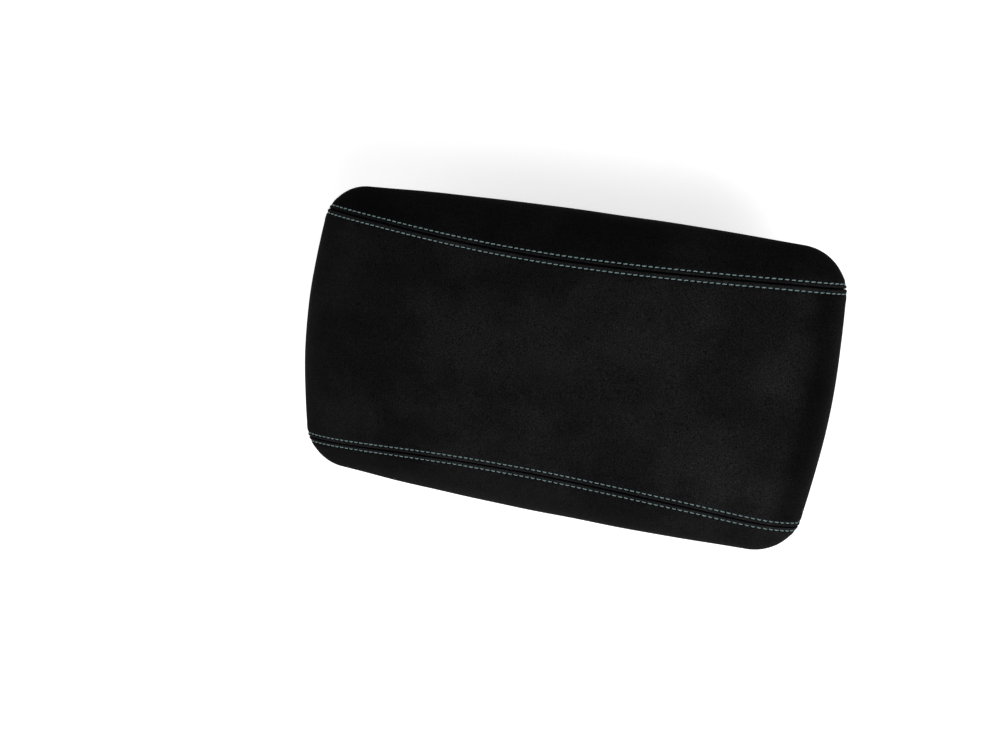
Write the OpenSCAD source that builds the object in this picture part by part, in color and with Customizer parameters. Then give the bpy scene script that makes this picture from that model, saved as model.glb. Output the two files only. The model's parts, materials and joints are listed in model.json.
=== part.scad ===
// Upholstered armrest lid of a car's centre console, with its rear hinge and front release latch.
// X runs across the lid, -Y points to the front of the car and +Z is up. The lid is drawn closed.
// The origin is the centre of the hinge's four fixing holes, on the face that meets the console.

/* [Pad outline] */
// Length of the pad from front to rear
pad_len = 340; // [300:5:380]
// Width of the pad where the sides would meet the ends
pad_width = 187; // [175:1:210]
// How far each long side bows outwards
side_bow = 5; // [2:0.5:8]
// How far the front end bows outwards
front_bow = 8; // [4:0.5:12]
// How far the rear end bows outwards
rear_bow = 11; // [6:0.5:14]
// Radius of the four corners in plan
corner_r = 30; // [28.5:0.5:34]

/* [Pad section] */
// Height of the upright edge below the rolled shoulder
wall_h = 15; // [12:0.5:20]
// How far the foot of the edge tucks in
wall_tuck = 2; // [0:0.5:3]
// Width of the rolled shoulder in plan
roll_in = 28; // [22:0.5:28]
// Height of the rolled shoulder
roll_up = 12; // [10:0.5:16]
// Rise of the crown from side to side
crown_across = 12.5; // [8:0.5:16]
// Rise of the crown from end to end
crown_along = 2.5; // [0:0.5:5]
// Extra drop of the top towards the front
nose_drop = 5; // [0:0.5:8]
// Extra drop of the top towards the rear
tail_drop = 10; // [0:0.5:12]

/* [Cover and seams] */
// Thickness of the suede with its backing
cover_t = 1.6; // [1.2:0.1:2.2]
// Width of the cover turned under the rim
hem_w = 7; // [5:0.5:8]
// Distance of each seam from the middle, half way along
seam_mid = 67.5; // [62:0.5:71]
// Distance of each seam from the middle at the front
seam_front = 73.5; // [70:0.5:77]
// Distance of each seam from the middle at the rear
seam_rear = 78.5; // [74:0.5:80]
// How much further out the seams run between their middle and their ends
seam_swell = 1.1; // [0:0.1:1.8]
// Half width of the valley along a seam
valley_w = 1.3; // [0.8:0.1:1.8]
// Depth of the valley along a seam
valley_d = 0.9; // [0.4:0.1:1.1]
// Distance between the two rows of topstitches
stitch_gauge = 5.8; // [5:0.1:7]
// Distance from one stitch to the next
stitch_pitch = 3.7; // [3.2:0.1:4.5]
// Length of a stitch on the surface
stitch_len = 2.9; // [2.2:0.1:3]
// Width of the thread
thread_w = 0.8; // [0.5:0.1:1]

/* [Foam and carrier] */
// Thickness of the foam on the top
foam_top = 10; // [7:0.5:12]
// Thickness of the foam on the upright edge
foam_side = 3; // [2:0.25:4]
// Wall thickness of the moulded carrier
carrier_t = 2.5; // [2:0.1:3]
// Radius of a screw boss
boss_r = 4; // [3.5:0.25:4.5]

/* [Liner] */
// Thickness of the moulded liner
liner_t = 2.5; // [2:0.1:3]
// How far the liner's edge lies inside the pad's edge
liner_inset = 5; // [4:0.5:7]
// Depth of the recess in the liner
recess_d = 8; // [5:0.5:10]
// Width of the recess
recess_w = 136; // [120:1:140]
// Distance of the recess from the latch plate and from the hinge leaf
recess_gap = 6; // [5:0.5:14]
// Corner radius of the recess
recess_r = 16; // [10:1:24]
// Height of a rubber bump stop below the liner
stop_h = 3.5; // [2:0.5:5]
// Radius of a rubber bump stop
stop_r = 5.5; // [4:0.5:7]

/* [Hinge] */
// Distance of the hinge axis from the pad's rear edge
axis_inset = 16; // [15:0.5:20]
// Distance of the hinge axis below the liner
axis_drop = 9.5; // [9.5:0.25:12]
// Radius of the hinge pin
pin_r = 3; // [2.5:0.25:3]
// Radius of the round end of the ears
knuckle_r = 6; // [5.75:0.25:6.5]
// Thickness of the steel of both leaves
leaf_t = 2; // [1.5:0.1:2.5]
// Width over the lid leaf's ears
leaf_w = 84; // [76:1:96]
// Height of the plate that is fixed to the console
base_h = 36; // [32:1:44]
// Spacing of the fixing holes across
fix_dx = 66; // [56:1:70]
// Spacing of the fixing holes up
fix_dz = 20; // [16:1:24]
// Radius of a fixing hole
fix_r = 2.75; // [2.25:0.25:3.25]

/* [Latch] */
// Distance of the latch pin behind the pad's front edge
latch_in = 33; // [31:0.5:36]
// Width of the release paddle
paddle_w = 44; // [36:1:52]
// Length of the paddle's finger plate
paddle_len = 21; // [18:0.5:22]
// Depth of the hook below the latch pin
hook_d = 24; // [20:0.5:28]
// Width of the hook
hook_w = 16; // [12:1:22]

/* [Hidden] */

// Clearances
fit = 0.1;          // between hard layers that are clamped together
soft_fit = 0.35;    // round the foam, beneath the cover and over the carrier
run = 0.05;         // radial, between a pin and what turns on it
side_play = 0.4;    // along a pin, beside what turns on it
seam_gap = 0.3;     // between two panels at their seam

// Facets of the lofted shells
corner_n = 7;       // steps round a corner
side_n = 10;        // steps along a side
roll_n = 6;         // steps over the cover's shoulder
half_columns = 6;   // columns of the middle panel on each side of its middle
end_rows = 9;       // rows of a side panel round a corner
end_ease = 1.7;     // draws those rows together towards the seam's end
last_row = 2 * end_rows + side_n;
shell_n = 5;        // steps over the shoulder of the foam and the carrier
top_n = 10;         // steps along the top between the shoulders
$fn = 48;

// Levels, with the rim of the pad at 0
liner_top = -fit;
liner_low = liner_top - liner_t;
leaf_low = liner_low - leaf_t;
over_wall = 4;      // how far below the round ends the ears cross the console's wall
axis_y = pad_len / 2 - axis_inset;
axis_z = liner_low - axis_drop;

// The hinge base's plate stands in front of the axis and below it
base_y = axis_y - knuckle_r - leaf_t;
base_top = axis_z - knuckle_r - over_wall;
base_mid = base_top - base_h / 2;
origin_shift = [0, -base_y, -base_mid];

// Arcs of the outline: two sides, two ends and the corners between them
half_w = pad_width / 2;
half_l = pad_len / 2;
function arc_radius(chord, bow) = chord * chord / (2 * bow) + bow / 2;
side_r = arc_radius(half_l, side_bow);
front_r = arc_radius(half_w, front_bow);
rear_r = arc_radius(half_w, rear_bow);
side_c = [half_w + side_bow - side_r, 0];
front_c = [0, front_r - half_l];
rear_c = [0, half_l - rear_r];

// Meeting point of two circles with centres a and b, on the side where +X lies
function circles_meet(a, ra, b, rb) =
    let (d = norm(b - a), u = (b - a) / d, along = (ra * ra - rb * rb + d * d) / (2 * d),
        off = sqrt(ra * ra - along * along), n = [-u.y, u.x])
    (n.x > 0 ? a + along * u + off * n : a + along * u - off * n);
front_corner = circles_meet(side_c, side_r - corner_r, front_c, front_r - corner_r);
rear_corner = circles_meet(side_c, side_r - corner_r, rear_c, rear_r - corner_r);
function direction(a, b) = atan2(b.y - a.y, b.x - a.x);
side_front_a = direction(side_c, front_corner);
side_rear_a = direction(side_c, rear_corner);
front_a = direction(front_c, front_corner);
rear_a = direction(rear_c, rear_corner);
function on_circle(c, r, a) = c + r * [cos(a), sin(a)];

// Distance of a plan point inside the outline
function depth_in(x, y) =
    let (p = [abs(x), y], rear = y > 0, c = rear ? rear_corner : front_corner, a = direction(c, p),
        corner = rear ? a > side_rear_a && a < rear_a : a < side_front_a && a > front_a,
        side = side_r - norm(p - side_c),
        end = rear ? rear_r - norm(p - rear_c) : front_r - norm(p - front_c))
    corner ? corner_r - norm(p - c) : min(side, end);

// Y of the outline, moved in by inset, at a given X: the end's arc, or the corner's beyond it
function end_y(x, inset, rear) =
    let (s = rear ? 1 : -1, ec = rear ? rear_c : front_c, er = (rear ? rear_r : front_r) - inset,
        c = rear ? rear_corner : front_corner, cr = corner_r - inset, ax = abs(x),
        meet = on_circle(ec, er, rear ? rear_a : front_a).x)
    ax <= meet ? ec.y + s * sqrt(er * er - ax * ax) : c.y + s * sqrt(max(0, cr * cr - pow(ax - c.x, 2)));

// Rise of the top: the crown, less the drop towards each end
function crown(x, y) =
    let (v = y / half_l, u = x / (half_w + side_bow))
    crown_across * (1 - u * u) + crown_along * (1 - v * v)
        - (v < 0 ? nose_drop * pow(-v, 3) : tail_drop * pow(v, 3));

// A layer is [inset at the edge, height of its upright edge, rise of its shoulder, height of its foot]
skin_layer = [0, wall_h, roll_up, 0];
lining_layer = [cover_t, wall_h, roll_up - cover_t, cover_t];
foam_outer = [cover_t + soft_fit, wall_h, roll_up - cover_t - soft_fit, cover_t + fit];
foam_inner = [foam_outer[0] + foam_side, wall_h / 2, foam_outer[2] + wall_h / 2 - foam_top, cover_t + fit];
carrier_outer = [foam_inner[0] + soft_fit, foam_inner[1], foam_inner[2] - soft_fit, cover_t + fit];
carrier_inner = [carrier_outer[0] + carrier_t, carrier_outer[1], carrier_outer[2] - carrier_t,
    cover_t + fit];

// Height of a layer over a plan point
function layer_z(x, y, layer) =
    let (e = min(1, max(0, depth_in(x, y) - layer[0]) / (roll_in - layer[0])))
    layer[1] + (layer[2] + crown(x, y)) * sqrt(1 - pow(1 - e, 2));
function on_layer(x, y, layer) = [x, y, layer_z(x, y, layer)];
function tuck_at(z) = wall_tuck * (1 - z / wall_h);

// Distance of the seam from the middle at a given Y
function seam_x(y) =
    let (v = max(-1, min(1, y / half_l)), share = v * v)
    seam_mid * (1 - share) + (v < 0 ? seam_front : seam_rear) * share
    + 4 * seam_swell * share * (1 - share);
seam_end_f = seam_x(-half_l);
seam_end_r = seam_x(half_l);

// Faces of a closed shell of rows of equal length. Triangles with no area are left out.
function flat3(p, a, b, c) = norm(cross(p[b] - p[a], p[c] - p[a])) < 1e-5;
function quad(p, a, b, c, d) =
    concat(flat3(p, a, b, c) ? [] : [[a, b, c]], flat3(p, a, c, d) ? [] : [[a, c, d]]);
function join(lists) = [for (l = lists) each l];

// A shell whose rows are closed loops: outer points out, inner points back.
// The ends are ladders between the two.
module loop_shell(rows, turned = false) {
    m = len(rows[0]);
    n = len(rows);
    p = join(rows);
    sides = [for (i = [0:n - 2], k = [0:m - 1])
        let (k2 = (k + 1) % m) each quad(p, i * m + k, i * m + k2, (i + 1) * m + k2, (i + 1) * m + k)];
    ladders = [for (k = [0:m / 2 - 2]) each concat(
        quad(p, m - 1 - k, m - 2 - k, k + 1, k),
        quad(p, (n - 1) * m + k, (n - 1) * m + k + 1, (n - 1) * m + m - 2 - k, (n - 1) * m + m - 1 - k))];
    faces = concat(sides, ladders);
    polyhedron(p, turned ? [for (f = faces) [f[2], f[1], f[0]]] : faces, convexity = 6);
}

// Points of the whole outline moved in by inset, anticlockwise from the middle of the right side
function quarter(inset, rear) =
    let (c = rear ? rear_corner : front_corner, ec = rear ? rear_c : front_c,
        er = (rear ? rear_r : front_r) - inset, sa = rear ? side_rear_a : side_front_a,
        ea = rear ? rear_a : front_a, mid = rear ? 90 : -90, half = side_n / 2, end_n = 4)
    concat(
        [for (i = [0:half - 1]) on_circle(side_c, side_r - inset, sa * i / half)],
        [for (i = [0:corner_n - 1]) on_circle(c, corner_r - inset, sa + (ea - sa) * i / corner_n)],
        [for (i = [0:end_n]) on_circle(ec, er, ea + (mid - ea) * i / end_n)]);
function reversed(l) = [for (i = [len(l) - 1:-1:0]) l[i]];
function outline(inset) =
    let (r = quarter(inset, true), f = quarter(inset, false), n = len(r))
    concat(r, [for (i = [n - 2:-1:0]) [-r[i].x, r[i].y]],
        [for (i = [1:n - 1]) [-f[i].x, f[i].y]], [for (i = [n - 2:-1:1]) f[i]]);

// Rings of a layer from its foot over the top: each ring follows the outline
function rings(layer, steps) =
    let (inner = [for (p = outline(roll_in)) p])
    concat(
        [for (z = [layer[3], layer[1]]) [for (p = outline(layer[0] + tuck_at(z))) [p.x, p.y, z]]],
        [for (i = [1:steps])
            let (e = 1 - cos(90 * i / steps), d = layer[0] + e * (roll_in - layer[0]))
            [for (p = outline(d)) on_layer(p.x, p.y, layer)]],
        [for (s = [2 / 3, 1 / 3]) [for (p = inner) on_layer(p.x * s, p.y * s, layer)]]);

// A domed shell between two layers, open below
module dome(outer, inner, steps) {
    a = rings(outer, steps);
    b = rings(inner, steps);
    m = len(a[0]);
    n = len(a);
    p = concat(join(a), [on_layer(0, 0, outer)], join(b), [on_layer(0, 0, inner)]);
    o = n * m + 1;
    walls = [for (i = [0:n - 2], k = [0:m - 1]) let (k2 = (k + 1) % m) each concat(
        quad(p, i * m + k, (i + 1) * m + k, (i + 1) * m + k2, i * m + k2),
        quad(p, o + i * m + k, o + i * m + k2, o + (i + 1) * m + k2, o + (i + 1) * m + k))];
    caps = [for (k = [0:m - 1]) let (k2 = (k + 1) % m) each concat(
        [[(n - 1) * m + k, n * m, (n - 1) * m + k2]],
        [[o + (n - 1) * m + k, o + (n - 1) * m + k2, o + n * m]],
        quad(p, k, k2, o + k2, o + k))];
    polyhedron(p, concat(walls, caps), convexity = 6);
}

// Everything below is drawn with the pad's rim at 0 and moved to the hinge's origin here
module placed() {
    translate(origin_shift) children();
}

// The middle panel: columns run from the front hem over the top to the rear hem
function centre_x(u, y) = u * (seam_x(y) - seam_gap / 2);
function centre_hem(u, inset, z, rear) =
    let (x = centre_x(u, rear ? half_l : -half_l))
    [x, end_y(x, inset, rear), z];
function centre_roll(u, e, layer, rear, drop) =
    let (s = rear ? -1 : 1, x0 = centre_x(u, rear ? half_l : -half_l),
        y0 = end_y(x0, layer[0], rear) + s * e * (roll_in - layer[0]), x = centre_x(u, y0))
    [x, y0, layer_z(x, y0, layer) - drop * min(1, 4 * e)];
function centre_column(u, layer, drop) =
    let (foot = layer[3], y1 = centre_roll(u, 1, layer, false, 0).y, y2 = centre_roll(u, 1, layer, true, 0).y)
    concat(
        [centre_hem(u, wall_tuck + hem_w, foot, false)],
        [for (z = [foot, wall_h / 2]) centre_hem(u, layer[0] + tuck_at(z), z, false)],
        [for (i = [0:roll_n]) centre_roll(u, 1 - cos(90 * i / roll_n), layer, false, drop)],
        [for (i = [1:top_n - 1])
            let (y = y1 + (y2 - y1) * i / top_n, x = centre_x(u, y))
            on_layer(x, y, layer) - [0, 0, drop]],
        [for (i = [roll_n:-1:0]) centre_roll(u, 1 - cos(90 * i / roll_n), layer, true, drop)],
        [for (z = [wall_h / 2, foot]) centre_hem(u, layer[0] + tuck_at(z), z, true)],
        [centre_hem(u, wall_tuck + hem_w, foot, true)]);

module cover_centre_panel() {
    edge = 1 - valley_w / seam_mid;
    inner_us = [for (i = [-half_columns:half_columns]) edge * sin(90 * i / half_columns)];
    us = concat([-1], inner_us, [1]);
    color("#161618") placed()
        loop_shell([for (u = us)
            let (drop = abs(u) == 1 ? valley_d : 0)
            concat(centre_column(u, skin_layer, drop), reversed(centre_column(u, lining_layer, 0)))]);
}

// A side panel: rows run across the strip from the seam to the edge and down to the hem
function corner_point(f, inset, x0, rear) =
    let (c = rear ? rear_corner : front_corner, r = corner_r - inset, s = rear ? 1 : -1,
        start = s * acos((x0 - c.x) / r), stop = rear ? side_rear_a : side_front_a)
    on_circle(c, r, start + (stop - start) * f);
function edge_point(i, inset) =
    i <= end_rows ? corner_point(pow(i / end_rows, end_ease), inset, seam_end_f + seam_gap / 2, false)
    : i < end_rows + side_n ? on_circle(side_c, side_r - inset,
        side_front_a + (side_rear_a - side_front_a) * (i - end_rows) / side_n)
    : corner_point(pow((last_row - i) / end_rows, end_ease), inset, seam_end_r + seam_gap / 2, true);
function side_row(i, layer, drop) =
    let (foot = layer[3], o = edge_point(i, layer[0]), s = [seam_x(o.y) + seam_gap / 2, o.y],
        width = max(0, o.x - s.x), v = min(valley_w, width / 3), end = i == 0 || i == last_row,
        at_wall = [for (z = [wall_h / 2, foot]) let (p = edge_point(i, layer[0] + tuck_at(z))) [p.x, p.y, z]],
        hem = edge_point(i, wall_tuck + hem_w))
    concat(
        [end ? [o.x, o.y, wall_h] : on_layer(s.x, s.y, layer) - [0, 0, drop * min(1, width / 4)]],
        [for (k = [0:roll_n])
            let (x = s.x + v + (width - v) * sin(90 * k / roll_n))
            end ? [o.x, o.y, wall_h] : k == roll_n ? [o.x, o.y, wall_h] : on_layer(x, o.y, layer)],
        at_wall, [[hem.x, hem.y, foot]]);

module side_panel() {
    loop_shell([for (i = [0:last_row])
        concat(side_row(i, skin_layer, valley_d), reversed(side_row(i, lining_layer, 0)))], turned = true);
}
module cover_right_panel() {
    color("#161618") placed() side_panel();
}
module cover_left_panel() {
    color("#161618") placed() mirror([1, 0, 0]) side_panel();
}

// One row of topstitches beside a seam, from the foot of the front edge over the top to the rear one
function row_point(off, f, lift) =
    let (x_f = seam_end_f + off, x_r = seam_end_r + off, y_f = end_y(x_f, 0, false), y_r = end_y(x_r, 0, true),
        wall = 0.12)
    f < wall ? let (z = wall_h * f / wall) [x_f, end_y(x_f, tuck_at(z) - lift, false), z]
    : f > 1 - wall ? let (z = wall_h * (1 - f) / wall) [x_r, end_y(x_r, tuck_at(z) - lift, true), z]
    : let (a = 180 * (f - wall) / (1 - 2 * wall), y = (y_f + y_r) / 2 - cos(a) * (y_r - y_f) / 2,
        x = seam_x(y) + off)
    on_layer(x, y, skin_layer) + [0, 0, lift];
row_steps = 240;
thread_h = thread_w * 0.75;
thread_gap = 0.15;  // between the thread and the cover
function unit(v) = v / norm(v);

module stitch_row(off) {
    path = [for (i = [0:row_steps]) row_point(off, i / row_steps, thread_gap)];
    lengths = [for (i = 0, s = 0; i <= row_steps;
        s = s + (i < row_steps ? norm(path[i + 1] - path[i]) : 0), i = i + 1) s];
    total = lengths[row_steps];
    count = floor((total - 2 * stitch_pitch) / stitch_pitch);
    table = [for (i = [0:row_steps]) [lengths[i], i / row_steps]];
    for (k = [0:count]) {
        s = (total - count * stitch_pitch) / 2 + k * stitch_pitch;
        f = lookup(s, table);
        a = row_point(off, lookup(s - stitch_len / 2, table), thread_gap);
        b = row_point(off, lookup(s + stitch_len / 2, table), thread_gap);
        across = row_point(off + 0.5, f, thread_gap) - row_point(off - 0.5, f, thread_gap);
        t = unit(b - a);
        n = unit(cross(across, t));
        w = cross(t, n);
        mid = row_point(off, f, thread_gap) + n * thread_h / 2;
        multmatrix([[t.x, w.x, n.x, mid.x], [t.y, w.y, n.y, mid.y], [t.z, w.z, n.z, mid.z]])
            cube([stitch_len, thread_w, thread_h], center = true);
    }
}
module stitch_rows() {
    for (side = [-1, 1]) stitch_row(side * stitch_gauge / 2);
}
module topstitching_right() {
    color("#6f9a99") placed() stitch_rows();
}
module topstitching_left() {
    color("#6f9a99") placed() mirror([1, 0, 0]) stitch_rows();
}

module foam_pad() {
    color("#c9b458") placed() dome(foam_outer, foam_inner, shell_n);
}

// Latch plate and hinge leaf as they lie under the liner
latch_y = latch_in - half_l;
plate_back = 3;     // how far the middle of the latch plate lies behind the latch pin
plate_mid = latch_y + plate_back;
plate_len = 32;
plate_side = 12;    // how far the latch plate reaches beyond the paddle on each side
plate_r = 5;
leaf_in = 58;
leaf_front = half_l - leaf_in;

// The recess lies between them
recess_front = plate_mid + plate_len / 2 + recess_gap;
recess_rear = leaf_front - recess_gap;
recess_len = recess_rear - recess_front;
recess_mid = (recess_rear + recess_front) / 2;

// Screws: positions in plan, and the level under each head
screw_r = 1.8;
screw_gap = 0.05;
screw_head_r = 3.4;
screw_head_h = 2.2;
screw_len = 11;
drive_w = 2.2;
drive_d = 1.2;
edge_in = 6;        // from a plate's edge to its screws
liner_x = recess_w / 2 + liner_t + boss_r + edge_in - 0.5;
liner_y = recess_len / 2 - 2 * edge_in;
liner_spots = [for (x = [-1, 1], y = [-1, 0, 1]) [x * liner_x, recess_mid + y * liner_y]];
end_x = [52, 58];
end_in = [24, 30];
end_spots = [for (s = [-1, 1]) each [[s * end_x[0], end_in[0] - half_l], [s * end_x[1], half_l - end_in[1]]]];
leaf_x = 30;
leaf_spots = [for (x = [-leaf_x, leaf_x], y = [leaf_front + edge_in + 2, half_l - end_in[1] + 2]) [x, y]];
latch_spots = [for (x = [-1, 1], y = [-1, 1])
    [x * (paddle_w / 2 + plate_side - edge_in + 1), plate_mid + y * (plate_len / 2 - edge_in)]];
all_spots = concat(liner_spots, end_spots, leaf_spots, latch_spots);
shell_bite = 1;     // how far the top of a boss or rib stays below the carrier's outer face
carrier_rib_t = 1.8;
carrier_rib_low = 9;
carrier_rib_pitch = recess_len / 4.8;

module screw_at(p, level) {
    translate([p.x, p.y, level]) {
        difference() {
            translate([0, 0, -screw_head_h]) cylinder(r = screw_head_r, h = screw_head_h);
            for (a = [0, 60, 120]) rotate([0, 0, a])
                translate([-drive_w, -drive_w / 4, -screw_head_h - 1]) cube([2 * drive_w, drive_w / 2, 1 + drive_d]);
        }
        cylinder(r = screw_r, h = screw_len);
    }
}
function boss_top(p) = min([for (a = [0:45:315])
    let (q = p + boss_r * [cos(a), sin(a)]) layer_z(q.x, q.y, carrier_outer)]) - shell_bite;
// A rib across the inside of the carrier, whose top follows the shell
module rib_across(y) {
    reach = half_w - roll_in + 4;
    translate([0, y + carrier_rib_t / 2, 0]) rotate([90, 0, 0]) linear_extrude(carrier_rib_t)
        polygon(concat([[reach, carrier_rib_low], [-reach, carrier_rib_low]],
            [for (i = [-6:6]) [reach * i / 6, layer_z(reach * i / 6, y, carrier_outer) - shell_bite]]));
}

module carrier_shell() {
    color("#2b2b2e") placed() difference() {
        union() {
            dome(carrier_outer, carrier_inner, shell_n);
            for (i = [-2:2]) rib_across(recess_mid + i * carrier_rib_pitch);
            for (p = all_spots) translate([p.x, p.y, 0]) cylinder(r = boss_r, h = boss_top(p));
        }
        for (p = all_spots) translate([p.x, p.y, -1]) cylinder(r = screw_r + screw_gap, h = screw_len + 1);
    }
}

module rounded_block(w, l, h, r) {
    translate([r - w / 2, -l / 2, 0]) cube([w - 2 * r, l, h]);
    translate([-w / 2, r - l / 2, 0]) cube([w, l - 2 * r, h]);
    for (x = [-1, 1], y = [-1, 1]) translate([x * (w / 2 - r), y * (l / 2 - r), 0]) cylinder(r = r, h = h);
}

// The liner closes the pad from below; its middle is recessed upwards
stop_in = [21.5, 31];
stop_spots = [for (x = [-1, 1], y = [-1, 1]) [x * (half_w - stop_in[0]), y * (half_l - stop_in[1])]];
stop_stem_r = 2;
module inner_liner() {
    color("#242427") placed() difference() {
        union() {
            translate([0, 0, liner_low]) linear_extrude(liner_t) polygon(outline(liner_inset));
            translate([0, recess_mid, liner_low]) rounded_block(recess_w + 2 * liner_t, recess_len + 2 * liner_t,
                recess_d + liner_t, recess_r + liner_t);
        }
        translate([0, recess_mid, liner_low - 1]) rounded_block(recess_w, recess_len, recess_d + 1, recess_r);
        for (p = all_spots) translate([p.x, p.y, liner_low - 1]) cylinder(r = screw_r + 2 * fit, h = liner_t + 2);
        for (p = stop_spots)
            translate([p.x, p.y, liner_low - 1]) cylinder(r = stop_stem_r + screw_gap, h = liner_t + 2);
    }
}
module liner_screws() {
    color("#8d8f93") placed() for (p = concat(liner_spots, end_spots)) screw_at(p, liner_low);
}
bulb_r = 2.6;
module bump_stops() {
    color("#19191a") placed() for (p = stop_spots) translate([p.x, p.y, 0]) {
        translate([0, 0, liner_low - stop_h]) cylinder(r1 = stop_r - 0.8, r2 = stop_r, h = stop_h);
        translate([0, 0, liner_low]) cylinder(r = stop_stem_r, h = liner_t + fit);
        translate([0, 0, liner_top + fit]) cylinder(r1 = bulb_r, r2 = bulb_r / 2, h = bulb_r);
    }
}

// Hinge. Ears of the lid's leaf stand outside the ears of the base, with a bush in each base ear
ear_out = leaf_w / 2;
ear_in = ear_out - leaf_t;
flange_t = 1;
flange_out = ear_in - side_play;
base_ear_out = flange_out - flange_t;
base_ear_in = base_ear_out - leaf_t;
bush_r = pin_r + run + 1.2;
bush_len = 5;
module along_x(x1, x2, r) {
    translate([x1, axis_y, axis_z]) rotate([0, 90, 0]) cylinder(r = r, h = x2 - x1);
}
// A plate between x1 and x2 with its outline given as [y, z]
module upright(x1, x2, points) {
    translate([x1, 0, 0]) rotate([90, 0, 90]) linear_extrude(x2 - x1) polygon(points);
}
leaf_rear = axis_y + knuckle_r;
ear_root = 14;      // how far in front of the axis an ear leaves its plate
bead_w = 3;
bead_h = 1.2;
bead_x = 14;
bead_len = 28;
bead_in = 5;
module hinge_lid_leaf() {
    color("#4a4c50") placed() difference() {
        union() {
            translate([-ear_out, leaf_front, leaf_low]) cube([2 * ear_out, leaf_rear - leaf_front, leaf_t]);
            for (x1 = [ear_in, -ear_out]) {
                along_x(x1, x1 + leaf_t, knuckle_r);
                upright(x1, x1 + leaf_t, [[axis_y - knuckle_r, axis_z], [axis_y - ear_root, leaf_low + leaf_t / 2],
                    [leaf_rear, leaf_low + leaf_t / 2], [leaf_rear, axis_z]]);
            }
            for (x = [-bead_x, bead_x]) translate([x - bead_w / 2, leaf_front + bead_in, leaf_low - bead_h])
                cube([bead_w, bead_len, bead_h + leaf_t / 2]);
        }
        along_x(-ear_out - 1, ear_out + 1, pin_r + run);
        for (p = leaf_spots) translate([p.x, p.y, leaf_low - 1]) cylinder(r = screw_r + 2 * fit, h = leaf_t + 2);
    }
}
module hinge_leaf_screws() {
    color("#8d8f93") placed() for (p = leaf_spots) screw_at(p, leaf_low);
}
module bush(s) {
    color("#d8d4c6") placed() difference() {
        union() {
            along_x(s > 0 ? flange_out - bush_len : -flange_out, s > 0 ? flange_out : bush_len - flange_out, bush_r);
            along_x(s > 0 ? base_ear_out : -flange_out, s > 0 ? flange_out : -base_ear_out, knuckle_r - 0.5);
        }
        along_x(-ear_out, ear_out, pin_r + run);
    }
}
module hinge_bush_right() {
    bush(1);
}
module hinge_bush_left() {
    bush(-1);
}
head_t = 1.8;
clip_t = 0.9;
clip_x = ear_out + 0.2;
groove_r = pin_r - 0.7;
module hinge_pin() {
    color("#b9bcc0") placed() difference() {
        union() {
            along_x(-ear_out, clip_x + clip_t + 2, pin_r);
            along_x(-ear_out - head_t, -ear_out, pin_r + 1.6);
        }
        difference() {
            along_x(clip_x, clip_x + clip_t + 0.1, pin_r + 1);
            along_x(clip_x - 1, clip_x + clip_t + 1, groove_r);
        }
    }
}
clip_mouth = 3;
module hinge_pin_clip() {
    color("#707377") placed() difference() {
        along_x(clip_x + 0.05, clip_x + clip_t + 0.05, pin_r + 2);
        along_x(clip_x - 1, clip_x + clip_t + 1, groove_r + 0.05);
        translate([clip_x - 1, axis_y - clip_mouth / 2, axis_z - 2 * knuckle_r])
            cube([clip_t + 2, clip_mouth, 2 * knuckle_r]);
    }
}
ear_reach = 11;
ear_foot = 24;
module hinge_base() {
    color("#4a4c50") placed() difference() {
        union() {
            translate([-base_ear_out, base_y - leaf_t, base_top - base_h]) cube([2 * base_ear_out, leaf_t, base_h]);
            for (x1 = [base_ear_in, -base_ear_out]) {
                along_x(x1, x1 + leaf_t, knuckle_r);
                upright(x1, x1 + leaf_t, [[axis_y - knuckle_r, axis_z], [base_y - ear_reach, base_top],
                    [base_y - ear_reach, base_top - ear_foot / 2], [base_y - leaf_t, base_top - ear_foot],
                    [base_y - leaf_t / 2, base_top - ear_foot], [base_y - leaf_t / 2, base_top - 1],
                    [base_y, base_top], [leaf_rear, axis_z - 3], [leaf_rear, axis_z]]);
            }
        }
        along_x(-ear_out, ear_out, bush_r + screw_gap);
        for (x = [-1, 1], z = [-1, 1])
            translate([x * fix_dx / 2, base_y + 1, base_mid + z * fix_dz / 2]) rotate([90, 0, 0])
                cylinder(r = fix_r, h = leaf_t + 2);
    }
}

// A round wire along a path of points, closed at both ends
module wire(path, r, sides = 6) {
    n = len(path);
    ring = [for (i = [0:n - 1])
        let (t = unit(path[min(i + 1, n - 1)] - path[max(i - 1, 0)]), v = unit(cross(t, [1, 0, 0])), u = cross(v, t))
        [for (k = [0:sides - 1]) path[i] + r * (cos(360 * k / sides) * u + sin(360 * k / sides) * v)]];
    p = concat(join(ring), [path[0], path[n - 1]]);
    tube = [for (i = [0:n - 2], k = [0:sides - 1]) let (k2 = (k + 1) % sides, a = i * sides, b = a + sides) each
        [[a + k, b + k2, a + k2], [a + k, b + k, b + k2]]];
    ends = [for (k = [0:sides - 1]) let (k2 = (k + 1) % sides, a = (n - 1) * sides) each
        [[k, k2, n * sides], [a + k2, a + k, n * sides + 1]]];
    polyhedron(p, concat(tube, ends), convexity = 10);
}
// Coil round an X axis at [y, z], clockwise seen from +X, starting at the angle a1
function coil(x1, y, z, r, pitch, a1, turns, steps) =
    [for (i = [0:turns * steps]) let (a = a1 - 360 * i / steps)
        [x1 + pitch * i / steps, y + r * cos(a), z + r * sin(a)]];

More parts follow.
